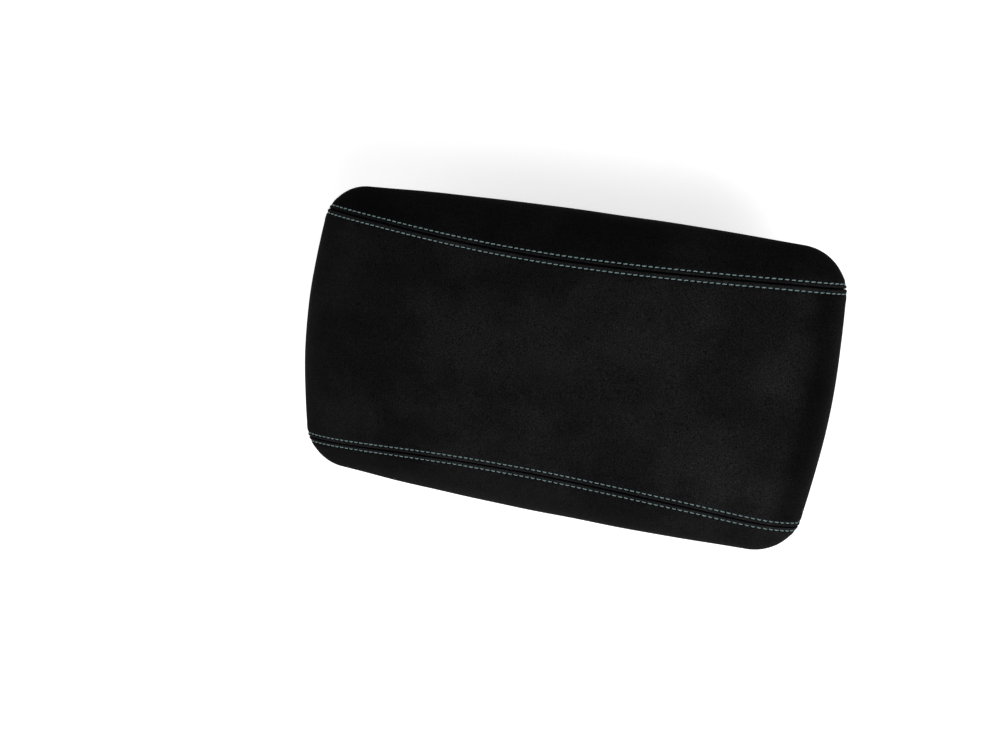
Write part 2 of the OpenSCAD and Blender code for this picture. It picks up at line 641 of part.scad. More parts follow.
spring_wire = 0.7;
spring_r = 4.9;
spring_turns = 6.5;
spring_pitch = 2 * spring_wire + 0.2;
spring_foot = 14;   // how far a leg reaches down the base's plate
spring_hand = 13;   // how far the other leg reaches along the lid's leaf, in front of the coil
module hinge_spring() {
    x1 = -spring_turns * spring_pitch / 2;
    x2 = -x1 + 0.1;
    front = base_y - leaf_t - spring_wire - fit;
    low = axis_z - spring_r;
    color("#8f9296") placed() wire(concat(
        [[x1 - 0.2, base_y - 5 - spring_hand, leaf_low - spring_wire - fit],
            [x1 - 0.1, axis_y - 3, axis_z + spring_r + 0.15]],
        coil(x1, axis_y, axis_z, spring_r, spring_pitch, 90, spring_turns, 12),
        [[x2, base_y, low - 0.1], [x2, front + 0.8, low - 0.8], [x2, front, low - 2.6],
            [x2, front, base_top - spring_foot]]),
        spring_wire);
}

// Latch. The paddle turns on a pin between two cheeks under the liner, near the front
plate_t = 2;
plate_low = liner_low - plate_t;
latch_pin_r = 1.75;
latch_drop = 8;
latch_z = plate_low - latch_drop;
cheek_in = paddle_w / 2 + 0.5;
cheek_t = 2.5;
hub_r = 4;
module latch_along_x(x1, x2, r) {
    translate([x1, latch_y, latch_z]) rotate([0, 90, 0]) cylinder(r = r, h = x2 - x1);
}
module latch_housing() {
    plate_w = paddle_w + 2 * plate_side;
    color("#2b2b2e") placed() difference() {
        union() {
            translate([0, plate_mid, plate_low]) rounded_block(plate_w, plate_len, plate_t, plate_r);
            for (x1 = [cheek_in, -cheek_in - cheek_t]) {
                latch_along_x(x1, x1 + cheek_t, hub_r + 1);
                upright(x1, x1 + cheek_t, [[latch_y - hub_r - 1, latch_z], [latch_y - hub_r - 3, plate_low + 0.5],
                    [latch_y + hub_r + 9, plate_low + 0.5], [latch_y + hub_r + 1, latch_z]]);
            }
        }
        latch_along_x(-plate_w, plate_w, latch_pin_r + screw_gap);
        for (p = latch_spots) translate([p.x, p.y, plate_low - 1]) cylinder(r = screw_r + 2 * fit, h = plate_t + 2);
    }
}
module latch_screws() {
    color("#8d8f93") placed() for (p = latch_spots) screw_at(p, plate_low);
}
finger_t = 2.6;
tail_y = 9;
tail_w = 5;
barb = 5;
hook_t = 4;
rib_w = 2;
lip_r = finger_t / 2 + 0.4;

// Latch spring, in a pocket between the hook's rib and the paddle's tail
latch_wire = 0.4;
latch_coil_r = 2.7;
latch_turns = 4.5;
latch_pitch = 2 * latch_wire + 0.15;
latch_leg = 15;
pocket_gap = 0.6;
pocket_w = latch_turns * latch_pitch + 2 * latch_wire + 2 * pocket_gap;
pocket_x = max(hook_w / 2 + rib_w, paddle_w / 2 - tail_w - pocket_w) + pocket_w / 2;
tail_in = max(paddle_w / 2 - tail_w, pocket_x + pocket_w / 2 + fit);
module latch_paddle() {
    low = latch_z - hook_d;
    color("#2f3033") placed() difference() {
        union() {
            latch_along_x(-paddle_w / 2, paddle_w / 2, hub_r);
            translate([-paddle_w / 2, latch_y - paddle_len, latch_z - hub_r]) cube([paddle_w, paddle_len, finger_t]);
            // rolled lip along the finger edge
            translate([-paddle_w / 2, latch_y - paddle_len, latch_z - hub_r + lip_r]) rotate([0, 90, 0])
                cylinder(r = lip_r, h = paddle_w);
            // tails that rest against the housing
            for (x = [[-paddle_w / 2, -tail_in], [tail_in, paddle_w / 2]]) upright(x[0], x[1],
                [[latch_y, latch_z - hub_r + 1], [latch_y + tail_y, latch_z], [latch_y + tail_y, plate_low - fit],
                [latch_y + tail_y - 3, plate_low - fit], [latch_y, latch_z + hub_r - 1]]);
            // ribs that end the pull against the housing
            for (x = [-hook_w / 2 - rib_w, hook_w / 2]) upright(x, x + rib_w,
                [[latch_y - 14, latch_z - hub_r + finger_t / 2], [latch_y, latch_z - hub_r + finger_t / 2],
                    [latch_y, latch_z + hub_r - 1], [latch_y - 7, plate_low - 1.9]]);
            upright(-hook_w / 2, hook_w / 2, [[latch_y - hook_t / 2, latch_z], [latch_y + hook_t / 2, latch_z],
                [latch_y + hook_t / 2, low + 8], [latch_y + hook_t / 2 + barb, low + 7],
                [latch_y + hook_t / 2 + barb, low + 5], [latch_y + hook_t / 2, low], [latch_y - hook_t / 2, low]]);
        }
        latch_along_x(-paddle_w, paddle_w, latch_pin_r + run);
        translate([pocket_x - pocket_w / 2, latch_y - hub_r - 1, latch_z - hub_r + finger_t])
            cube([pocket_w, 2 * hub_r + 2, 2 * hub_r]);
        translate([pocket_x - pocket_w / 2, latch_y - latch_coil_r - latch_wire - pocket_gap, latch_z - hub_r - 1])
            cube([pocket_w, 3 * hub_r, 2 * hub_r]);
    }
}
module latch_pin() {
    color("#b9bcc0") placed() {
        latch_along_x(-cheek_in - cheek_t - 0.6, cheek_in + cheek_t, latch_pin_r);
        latch_along_x(cheek_in + cheek_t, cheek_in + cheek_t + 1.2, latch_pin_r + 1.2);
    }
}
module latch_spring() {
    x1 = pocket_x - latch_turns * latch_pitch / 2;
    x2 = x1 + latch_turns * latch_pitch + 0.1;
    rest = plate_low - latch_wire - fit;
    on_plate = latch_z - hub_r + finger_t + latch_wire + fit;
    color("#8f9296") placed() wire(concat(
        [[x1 - 0.1, latch_y - latch_leg, on_plate], [x1 - 0.1, latch_y - 5, on_plate],
            [x1 - 0.05, latch_y - latch_coil_r - 0.2, latch_z - 0.6]],
        coil(x1, latch_y, latch_z, latch_coil_r, latch_pitch, 180, latch_turns, 10),
        [[x2, latch_y + latch_coil_r + 0.3, latch_z - 1.5], [x2, latch_y + latch_coil_r + 2, latch_z - 1],
            [x2, latch_y + latch_coil_r + 5, rest - 0.6], [x2, latch_y + latch_coil_r + 8, rest]]), latch_wire);
}

cover_centre_panel();
cover_right_panel();
cover_left_panel();
topstitching_right();
topstitching_left();
foam_pad();
carrier_shell();
inner_liner();
liner_screws();
bump_stops();
hinge_lid_leaf();
hinge_leaf_screws();
hinge_bush_right();
hinge_bush_left();
hinge_pin();
hinge_pin_clip();
hinge_spring();
hinge_base();
latch_housing();
latch_screws();
latch_paddle();
latch_pin();
latch_spring();
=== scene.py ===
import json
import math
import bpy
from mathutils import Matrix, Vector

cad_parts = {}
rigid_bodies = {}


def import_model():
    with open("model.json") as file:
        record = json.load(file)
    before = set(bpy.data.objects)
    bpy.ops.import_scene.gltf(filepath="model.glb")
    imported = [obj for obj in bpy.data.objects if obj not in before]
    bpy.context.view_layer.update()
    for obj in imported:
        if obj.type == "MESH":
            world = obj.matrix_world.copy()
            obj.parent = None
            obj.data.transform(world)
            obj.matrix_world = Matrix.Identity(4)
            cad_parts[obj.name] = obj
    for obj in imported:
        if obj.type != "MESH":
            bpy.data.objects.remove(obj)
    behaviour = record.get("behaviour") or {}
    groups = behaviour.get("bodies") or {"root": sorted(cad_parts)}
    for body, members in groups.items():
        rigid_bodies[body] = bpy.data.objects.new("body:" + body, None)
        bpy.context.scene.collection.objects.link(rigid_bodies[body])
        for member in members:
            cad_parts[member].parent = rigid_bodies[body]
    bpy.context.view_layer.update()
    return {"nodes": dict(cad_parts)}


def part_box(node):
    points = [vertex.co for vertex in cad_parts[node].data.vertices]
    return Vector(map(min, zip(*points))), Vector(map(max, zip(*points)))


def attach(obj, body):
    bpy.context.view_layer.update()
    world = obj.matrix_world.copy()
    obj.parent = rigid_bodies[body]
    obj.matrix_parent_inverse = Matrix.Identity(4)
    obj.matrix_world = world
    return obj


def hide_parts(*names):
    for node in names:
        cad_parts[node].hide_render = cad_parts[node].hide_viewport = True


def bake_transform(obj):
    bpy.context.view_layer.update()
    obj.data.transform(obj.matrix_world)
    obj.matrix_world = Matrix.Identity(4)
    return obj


bl_info = {
    "name": "Suede Console Armrest",
    "version": (1, 0, 0),
    "blender": (4, 5, 0),
    "location": "3D View > Sidebar > Armrest",
    "description": "Dresses a padded console armrest: suede cover, topstitching, hinge and release latch",
    "category": "Object",
}

import bmesh
import bpy
import numpy as np
from bpy.props import FloatProperty, FloatVectorProperty, IntProperty, PointerProperty
from bpy.types import Operator, Panel, PropertyGroup
from mathutils import Matrix, Vector

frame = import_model()

# The pad's middle at the height of its rim, seen from the hinge's fixing holes
PAD_ORIGIN = np.array([0.0, -0.146, 0.0401])
MM = 0.001
METRE = 1000.0
# Points nearer than the first are merged, and edges shorter than the second taken out
SAME_POINT = 2e-6
NO_LENGTH = 1e-7
# Points handled at once in the search for the nearest place on a seam
BATCH = 4000

# Where the stitch rows' distance from the seam is worked out, as shares of half the pad's length
SHARES_OUT = (0.2, 0.4, 0.6, 0.75, 0.84, 0.9, 0.94, 0.97)
SHIFT_AT = np.array([*(-share for share in reversed(SHARES_OUT)), 0.0, *SHARES_OUT])
# Distances of the mesh columns from a turned edge, dense where the relief is
COLUMNS_IN = (0.0, 0.08, 0.2, 0.38, 0.6, 0.85, 1.1, 1.4, 1.7, 2.0)
COLUMNS_OUT = (2.25, 2.5, 2.75, 3.0, 3.3, 3.7, 4.3, 5.1, 6.1, 7.3, 8.8)
SEAM_COLUMNS = np.array([*COLUMNS_IN, *COLUMNS_OUT]) * MM
# Mesh rows down the upright edge, round its fold and on the hem, and the slope of the edge
WALL_ROWS = 12
FOLD_ANGLES = np.radians([22.5, 45.0, 67.5, 90.0])
HEM_SHARES = (0.33, 0.66, 1.0)
WALL_LEAN = -0.13
# Points of a seam's line over the top, and the rows of the edge that it goes on down to
SEAM_LINE_POINTS = 900
SEAM_FOOT = 13
# Rows over each shoulder of the middle panel, and its columns between the seams' own
SHOULDER_ROWS = 46
MIDDLE_COLUMNS = 31
# Rows round each corner of a side panel, closer towards its tip, and those along its side
CORNER_ROWS = 76
CORNER_EASE = 1.6
SIDE_SHARE = 0.8
SIDE_COLUMNS = 31
# Where a side panel is narrower than this, its relief is squeezed
FULL_RELIEF_WIDTH = 0.016

# The ridge beside a seam, as shares of the distance from the turned edge to the stitches
RIDGE_AT = 0.4
RIDGE_REACH = 0.38
# The swelling outside the stitches and the dent under them, in metres
PUFF_AT = 0.0028
PUFF_REACH = 0.0026
DENT_REACH = 0.00062
# Share of the dent between two stitches, and what the middle of a stitch adds
DENT_BETWEEN = 0.55
DENT_BEAT = 0.45
# The relief is full this far above the upright edge, and fades down the edge to nothing at its fold
FULL_RELIEF_UP = 0.004
EDGE_RELIEF = 0.3
FOLD_FADE = 6
# Painted shade on the front shoulder, set as a nap turned down, in shoulder widths behind the end: where it
# ends, fades and starts
NOSE_SHADE_END = 1.3
NOSE_SHADE_FADE = 0.7
NOSE_SHADE_RIM = 0.6

# How high a thread lies: this share of its radius, less this share of the dent
THREAD_UP = 0.55
DENT_UNDER = 0.5
# Distance of a row's end from the rim, as a share of that of its start
ROW_END = 0.6
# Mesh steps along a stitch and round its thread, and round a spring's wire
STITCH_STEPS = 8
THREAD_SIDES = 7
WIRE_SIDES = 14
# How far a stitch dives into the cover and stands up, in thread radii, and where its arc bends
STITCH_DIVE = -3.6
STITCH_CREST = 1.6
STITCH_BEND = 0.85

# The tape keeps every fourth row of the seam's line
TAPE_ROWS = 4
TAPE_CLEARANCE = 0.05 * MM
TAPE_THICKNESS = 0.25 * MM
ALLOWANCE_CLEARANCE = 0.03 * MM
# The foam: its distance below the cover at the sides and on top, and its own thickness there
FOAM_SIDE_CLEARANCE = 0.45 * MM
FOAM_TOP_CLEARANCE = 2.05 * MM
FOAM_SIDE = 3.0 * MM
FOAM_TOP = 7.0 * MM
# Its mesh: points along half a side, a corner and half an end, and its rings over shoulder and top
FOAM_SIDE_STEPS = 14
FOAM_CORNER_STEPS = 13
FOAM_END_STEPS = 9
FOAM_SHOULDER_STEPS = 12
FOAM_TOP_RINGS = (0.8, 0.6, 0.4, 0.2, 0.0)

# Ranges that nearly all of a noise texture's values fall in, the second for a stronger contrast
MOST = (0.3, 0.7)
CORE = (0.35, 0.65)
# How the brush strokes in the suede are drawn out and turned
STROKE_STRETCH = (1.0, 0.35, 1.0)
STROKE_TURN = (0.0, 0.0, 0.5)
# Turns of the thread's plies along one stitch, and plies round it
PLY_TURNS = 3.2
PLIES = 3.0

# Springs, in millimetres from the pad's middle: the axes, and the faces that their legs lie on
HINGE_AXIS = (154.0, -12.1)
LATCH_AXIS = (-137.0, -12.6)
LATCH_MIDDLE = 13.8625
PLATE_LOW = -4.6
LEAF_FRONT = 112.0
BASE_Y = 146.0
BASE_TOP = -22.1
BASE_THICKNESS = 2.0
PADDLE_DROP = 4
PADDLE_THICKNESS = 2.6
LEG_GAP = 0.1
# Radius and turns of each coil, and the gap between its turns
HINGE_COIL = (4.9, 6.5)
HINGE_TURN_GAP = 0.2
LATCH_COIL = (2.7, 4.5)
LATCH_TURN_GAP = 0.15

# The camera's place and directions, which put the pad where the photograph has it
CAMERA_AT = (0.10832, -0.23697, 0.62697)
CAMERA_RIGHT = (0.12620, -0.96336, -0.23667)
CAMERA_AHEAD = (-0.20268, 0.20851, -0.95679)
SENSOR_WIDTH = 36.0
NEAR_CLIP = 0.01
LAMP_WIDTH = 1.0
# Name, bearing and elevation in degrees of each lamp
LAMPS = (("key", 225, 50), ("top", 0, 90), ("back", 90, 50))
FLOOR_HALF = 6.0
# The floor's own light for the camera: least and most, and the distances between which it rises
FLOOR_GLOW = (0.62, 0.9, 0.7, 2.6)
WHITE = (1.0, 1.0, 1.0, 1.0)


def number(name, description, default, **settings):
    """A number for a property group."""
    return FloatProperty(name=name, description=description, default=default, **settings)


def length(name, description, default, least=0.0):
    """A size in metres for a property group."""
    return number(name, description, default, min=least, unit="LENGTH", precision=5)


def colour(name, description, default):
    """A colour for a property group."""
    return FloatVectorProperty(
        name=name, description=description, default=default, size=3, min=0, max=1, subtype="COLOR"
    )


class PadSizes(PropertyGroup):
    """Sizes of the upholstered pad"""

    pad_length: length("Pad length", "Length of the pad from front to rear", 0.340)
    pad_width: length("Pad width", "Width where the sides would meet the ends", 0.187)
    side_bow: length("Side bow", "How far each long side bows outwards", 0.005)
    front_bow: length("Front bow", "How far the front end bows outwards", 0.008)
    rear_bow: length("Rear bow", "How far the rear end bows outwards", 0.011)
    corner_radius: length("Corner radius", "Radius of the four corners in plan", 0.030)
    wall_height: length("Edge height", "Height of the upright edge below the shoulder", 0.015)
    wall_tuck: length("Edge tuck", "How far the foot of the edge tucks in", 0.002)
    roll_width: length("Shoulder width", "Width of the rolled shoulder in plan", 0.028)
    roll_height: length("Shoulder height", "Height of the rolled shoulder", 0.012)
    crown_across: length("Crown across", "Rise of the crown from side to side", 0.0125)
    crown_along: length("Crown along", "Rise of the crown from end to end", 0.0025)
    nose_drop: length("Nose drop", "Extra drop of the top towards the front", 0.005)
    tail_drop: length("Tail drop", "Extra drop of the top towards the rear", 0.010)
    seam_middle: length("Seam at middle", "Distance of each seam from the middle, half way along", 0.0675)
    seam_front: length("Seam at front", "Distance of each seam from the middle at the front", 0.0735)
    seam_rear: length("Seam at rear", "Distance of each seam from the middle at the rear", 0.0785)
    seam_swell: length("Seam swell", "How much further out the seams run between middle and ends", 0.0011)
    cover_thickness: length("Cover thickness", "Thickness of the suede with its backing", 0.0015)
    hem_width: length("Hem width", "Width of the cover turned under the rim", 0.007)
    row_step: length("Mesh step", "Distance between mesh rows along a seam", 0.00072, 0.0003)


class SeamSizes(PropertyGroup):
    """Sizes of the two seams and their topstitches"""

    seam_gap: length("Seam gap", "Gap between the two turned edges", 0.0006)
    edge_roll: length("Edge roll", "Radius with which each turned edge rolls into the seam", 0.0005)
    ridge: length("Ridge", "How far the doubled allowance lifts the suede beside the seam", 0.00055)
    puff: length("Puff", "How far the foam swells outside the stitches", 0.00028)
    dent: length("Dent", "How far the thread pulls the suede down", 0.00050)
    unevenness: length("Unevenness", "How far the suede strays from the plain pad", 0.00012)
    gauge: length("Row gauge", "Distance between the two rows of topstitches", 0.0058)
    pitch: length("Stitch pitch", "Distance from one stitch to the next", 0.0037)
    stitch: length("Stitch length", "Length of one stitch from hole to hole", 0.0029)
    thread_radius: length("Thread radius", "Radius of the sewing thread", 0.00037)
    tape_width: length("Tape width", "Width of the backing tape under each seam", 0.0070)
    allowance_depth: length("Allowance depth", "Depth at which the turned allowances close each seam", 0.0009)
    slant: number("Stitch slant", "Angle of a stitch to its row", math.radians(5), subtype="ANGLE")
    seed: IntProperty(name="Seed", description="Seed for the small unevenness of the stitches", default=4)


class PaintedLightSettings(PropertyGroup):
    """Painted light and shade on the suede, set as a lie of the nap from -1 flat and darker to 1 brushed up
    and lighter
    """

    # Painted light and shade: the middle panel painted lighter and the side panels darker, the right one
    # darkest, by how the light falls on them
    middle: number("Middle panel", "Half way along the middle panel", 0.15)
    right: number("Right panel", "Half way along the right panel", -0.46)
    left: number("Left panel", "Half way along the left panel", -0.10)
    # Painted light: the suede grows lighter towards the front end
    forward: number("Forward", "How much lighter the painted light makes the front end", 0.32)
    # Painted shade on the front shoulder, which turns away from the light
    nose: number("Front shoulder", "Painted shade where the middle panel turns down at the front", -0.55)
    nose_width: length("Front shoulder width", "How far from the front end the painted shade reaches", 0.020)
    # Painted shade inside the seams, on the turned edges and the tape
    in_seam: number("In the seam", "Painted shade on the turned edges inside the seams", -1.0)


class SpringSizes(PropertyGroup):
    """Sizes of the two torsion springs"""

    hinge_wire: length("Hinge wire", "Radius of the hinge spring's wire", 0.0007)
    latch_wire: length("Latch wire", "Radius of the latch spring's wire", 0.0004)


class Finishes(PropertyGroup):
    """Colours of the finishes"""

    suede: colour("Suede", "Nap lying away from the light", (0.0044, 0.0044, 0.0048))
    suede_raised: colour("Raised nap", "Nap brushed up towards the light", (0.0096, 0.0095, 0.0100))
    thread: colour("Thread", "Topstitching thread", (0.218, 0.322, 0.318))
    # Painted shade in the valleys between the thread's plies
    thread_shade: colour("Thread painted shade", "Valleys between the thread's plies", (0.055, 0.095, 0.094))
    foam: colour("Foam", "Moulded foam", (0.55, 0.50, 0.32))
    moulding: colour("Moulding", "Grained black mouldings", (0.022, 0.022, 0.024))
    paddle: colour("Paddle", "Satin release paddle", (0.028, 0.029, 0.031))
    bush: colour("Bush", "Natural bearing plastic", (0.62, 0.59, 0.50))
    rubber: colour("Rubber", "Bump stops", (0.018, 0.018, 0.018))
    coated_steel: colour("Coated steel", "Black coated pressings", (0.030, 0.031, 0.034))
    zinc: colour("Zinc", "Plated screws", (0.56, 0.57, 0.58))
    bright_steel: colour("Bright steel", "Ground pins", (0.62, 0.62, 0.63))
    spring_steel: colour("Spring steel", "Drawn wire", (0.40, 0.41, 0.43))


class StageSettings(PropertyGroup):
    """Floor, camera and lamps"""

    floor_colour: colour("Floor", "Colour of the floor", (0.90, 0.90, 0.90))
    floor_drop: length("Floor drop", "Distance of the floor below the hinge", 0.020)
    focal: number("Focal length", "Lens, in millimetres on a 36 mm sensor", 33.216)
    key: number("Key lamp", "Power of the lamp in front, in watts", 17.0)
    top: number("Top lamp", "Power of the lamp overhead, in watts", 1.3)
    back: number("Back lamp", "Power of the lamp behind, in watts", 4.4)
    reach: length("Lamp distance", "Distance of the lamps from the pad", 1.5)
    sky: number("Sky", "Strength of the even light from all round", 0.21)


class PadForm:
    """The pad's bowed outline and crowned top, in metres, with its rim at height 0."""

    def __init__(self, s):
        self.sizes = s
        self.half_l = s.pad_length / 2
        self.half_w = s.pad_width / 2
        self.corner_r = s.corner_radius
        self.wall_h = s.wall_height
        self.tuck = s.wall_tuck
        self.roll_in = s.roll_width
        self.roll_up = s.roll_height
        self.seam = (s.seam_middle, s.seam_front, s.seam_rear)
        self.side_r = arc_radius(self.half_l, s.side_bow)
        self.side_cx = self.half_w + s.side_bow - self.side_r
        self.end_r = (arc_radius(self.half_w, s.front_bow), arc_radius(self.half_w, s.rear_bow))
        self.end_cy = (self.end_r[0] - self.half_l, self.half_l - self.end_r[1])
        self.corner = tuple(self._corner(k) for k in (0, 1))
        self.side_angle = tuple(math.atan2(c[1], c[0] - self.side_cx) for c in self.corner)
        self.end_angle = tuple(math.atan2(c[1] - cy, c[0]) for c, cy in zip(self.corner, self.end_cy))

    def _corner(self, k):
        """Centre of the corner arc between the right side and end k (0 front, 1 rear)."""
        a, ra = (self.side_cx, 0.0), self.side_r - self.corner_r
        b, rb = (0.0, self.end_cy[k]), self.end_r[k] - self.corner_r
        gap = math.hypot(b[0] - a[0], b[1] - a[1])
        ux, uy = (b[0] - a[0]) / gap, (b[1] - a[1]) / gap
        along = (ra * ra - rb * rb + gap * gap) / (2 * gap)
        off = math.sqrt(ra * ra - along * along)
        nx, ny = (-uy, ux) if -uy > 0 else (uy, -ux)
        return (a[0] + along * ux + off * nx, a[1] + along * uy + off * ny)

    def depth(self, x, y):
        """Distance of plan points inside the outline."""
        px = np.abs(x)
        rear = y > 0
        cx = np.where(rear, self.corner[1][0], self.corner[0][0])
        cy = np.where(rear, self.corner[1][1], self.corner[0][1])
        angle = np.arctan2(y - cy, px - cx)
        in_corner = np.where(
            rear,
            (angle > self.side_angle[1]) & (angle < self.end_angle[1]),
            (angle < self.side_angle[0]) & (angle > self.end_angle[0]),
        )
        side = self.side_r - np.hypot(px - self.side_cx, y)
        end = np.where(
            rear,
            self.end_r[1] - np.hypot(px, y - self.end_cy[1]),
            self.end_r[0] - np.hypot(px, y - self.end_cy[0]),
        )
        return np.where(in_corner, self.corner_r - np.hypot(px - cx, y - cy), np.minimum(side, end))

    def end_y(self, x, k):
        """Y of end k's outline at the given x."""
        sign = 1 if k else -1
        er = self.end_r[k]
        cr = self.corner_r
        ax = np.abs(x)
        meet = er * math.cos(self.end_angle[k])
        on_end = self.end_cy[k] + sign * np.sqrt(np.maximum(er * er - ax * ax, 0))
        on_corner = self.corner[k][1] + sign * np.sqrt(np.maximum(cr * cr - (ax - self.corner[k][0]) ** 2, 0))
        return np.where(ax <= meet, on_end, on_corner)

    def crown(self, x, y):
        """Rise of the top above its shoulder."""
        s = self.sizes
        v = y / self.half_l
        u = x / (self.half_w + s.side_bow)
        nose = s.nose_drop * np.clip(-v, 0, None) ** 3
        tail = s.tail_drop * np.clip(v, 0, None) ** 3
        return s.crown_across * (1 - u * u) + s.crown_along * (1 - v * v) - np.where(v < 0, nose, tail)

    def top(self, x, y, inset, under):
        """Height of a layer that lies inset and under the skin."""
        share = np.clip((self.depth(x, y) - inset) / (self.roll_in - inset), 0, 1)
        rise = self.roll_up - under + self.crown(x, y)
        return self.wall_h + rise * np.sqrt(1 - (1 - share) ** 2)

    def seam_x(self, y):
        """Distance of each seam from the middle."""
        v = np.clip(y / self.half_l, -1, 1)
        mid, front, rear = self.seam
        share = v * v
        swell = 4 * self.sizes.seam_swell * share * (1 - share)
        return mid * (1 - share) + np.where(v < 0, front, rear) * share + swell


def arc_radius(chord, bow):
    return chord * chord / (2 * bow) + bow / 2


def bell(distance, middle, reach):
    return np.exp(-(((distance - middle) / reach) ** 2))


def fill(tree, socket, value):
    """Links an input to another node's output, or gives it a value."""
    if isinstance(value, bpy.types.NodeSocket):
        tree.links.new(value, socket)
    else:
        socket.default_value = value


def add(tree, kind, inputs=None, **settings):
    """Adds a node, sets its properties, and links or sets its inputs by name or number."""
    node = tree.nodes.new(kind)
    for name, value in settings.items():
        setattr(node, name, value)
    for key, value in (inputs or {}).items():
        fill(tree, node.inputs[key], value)
    return node


def opaque(tone):
    return (*tone, 1.0)


def mixed(tree, factor, first, second):
    """A mix of two colours, first where the factor is 0."""
    return add(tree, "ShaderNodeMix", {0: factor, 6: first, 7: second}, data_type="RGBA").outputs[2]


def shaded(tree, tone, factor):
    """A colour made lighter or darker."""
    return add(tree, "ShaderNodeVectorMath", {0: tone, "Scale": factor}, operation="SCALE").outputs[0]


def ramp(tree, source, low, high, start=0.0, end=1.0):
    """Maps a value from start..end to low..high, and holds it there."""
    span = {"Value": source, "From Min": start, "From Max": end, "To Min": low, "To Max": high}
    return add(tree, "ShaderNodeMapRange", span).outputs["Result"]


def combine(tree, operation, first, second=0.0):
    return add(tree, "ShaderNodeMath", {0: first, 1: second}, operation=operation).outputs[0]


def vector(tree, x, y, z):
    return add(tree, "ShaderNodeCombineXYZ", {0: x, 1: y, 2: z}).outputs[0]


def noise(tree, place, scale, detail, roughness):
    values = {"Vector": place, "Scale": scale, "Detail": detail, "Roughness": roughness}
    return add(tree, "ShaderNodeTexNoise", values).outputs["Fac"]


def made_tree(name, kind, inputs, outputs, build):
    """The node tree of that name. If it isn't there yet, build adds its nodes and gives its results."""
    tree = bpy.data.node_groups.get(name)
    if tree is None:
        tree = bpy.data.node_groups.new(name, kind)
        for form, label, default in inputs:
            socket = tree.interface.new_socket(name=label, in_out="INPUT", socket_type="NodeSocket" + form)
            if default is not None:
                socket.default_value = default
        for form, label in outputs:
            tree.interface.new_socket(name=label, in_out="OUTPUT", socket_type="NodeSocket" + form)
        came = tree.nodes.new("NodeGroupInput")
        goes = tree.nodes.new("NodeGroupOutput")
        for index, result in enumerate(build(tree, came.outputs)):
            fill(tree, goes.inputs[index], result)
    return tree


def surface_group(name, inputs, build):
    """A shader node group that reads a place and puts out colour, roughness and height."""
    inputs = (("Vector", "Place", (0, 0, 0)), *inputs)
    outputs = (("Color", "Color"), ("Float", "Roughness"), ("Float", "Height"))
    return made_tree(name, "ShaderNodeTree", inputs, outputs, build)


def nap_and_painted_light_group():
    """Brushed microfibre nap: soft clouds where it lies another way, fine fibres, and painted light and shade
    that an input makes lighter and darker.
    """
    inputs = (
        ("Color", "Lying", (0.01, 0.01, 0.01, 1)),
        ("Color", "Raised", (0.02, 0.02, 0.02, 1)),
        ("Float", "Brushed up", 0.0),
        ("Float", "Cloud scale", 22.0),
        ("Float", "Stroke scale", 60.0),
        ("Float", "Tuft scale", 1350.0),
        ("Float", "Fibre scale", 2600.0),
    )

    def build(tree, came):
        where = came["Place"]
        clouds = noise(tree, where, came["Cloud scale"], 6.0, 0.6)
        drawn = {"Vector": where, "Scale": STROKE_STRETCH, "Rotation": STROKE_TURN}
        along = add(tree, "ShaderNodeMapping", drawn).outputs[0]
        strokes = noise(tree, along, came["Stroke scale"], 5.0, 0.6)
        fibres = noise(tree, where, came["Fibre scale"], 2.0, 0.7)
        tufts = noise(tree, where, came["Tuft scale"], 2.0, 0.6)
        cloudy = ramp(tree, clouds, 0.0, 0.7, 0.42, 0.58)
        lift = combine(tree, "ADD", cloudy, ramp(tree, strokes, 0.0, 0.3, 0.35, 0.68))
        base = mixed(tree, lift, came["Lying"], came["Raised"])
        speck = ramp(tree, tufts, 0.15, 1.85, *MOST)
        pile = combine(tree, "MULTIPLY", speck, ramp(tree, fibres, 0.6, 1.4, *MOST))
        # Painted light and shade: the tone made up to 1.8 times lighter and down to 0.2 times as light
        fresh = ramp(tree, came["Brushed up"], 0.2, 1.8, -1.0, 1.0)
        tone = shaded(tree, base, combine(tree, "MULTIPLY", pile, fresh))
        height = combine(tree, "ADD", fibres, combine(tree, "MULTIPLY", tufts, 1.6))
        return tone, ramp(tree, lift, 0.6, 0.7), height

    return surface_group("Brushed nap", inputs, build)


def grain_group():
    """Moulded leather-like grain with a little handling shine, for plastics and rubber."""
    inputs = (
        ("Color", "Base", (0.02, 0.02, 0.02, 1)),
        ("Float", "Grain scale", 900.0),
        ("Float", "Roughness", 0.6),
    )

    def build(tree, came):
        where = came["Place"]
        values = {"Vector": where, "Scale": came["Grain scale"]}
        cells = add(tree, "ShaderNodeTexVoronoi", values, feature="DISTANCE_TO_EDGE")
        patches = noise(tree, where, 35.0, 3.0, 0.5)
        fine = noise(tree, where, 2400.0, 2.0, 0.5)
        tone = shaded(tree, came["Base"], ramp(tree, patches, 0.85, 1.15, *CORE))
        rough = combine(tree, "ADD", came["Roughness"], ramp(tree, patches, -0.08, 0.08, *CORE))
        pits = ramp(tree, cells.outputs["Distance"], 0.0, 1.0, 0.0, 0.16)
        return tone, rough, combine(tree, "ADD", pits, combine(tree, "MULTIPLY", fine, 0.3))

    return surface_group("Moulded grain", inputs, build)


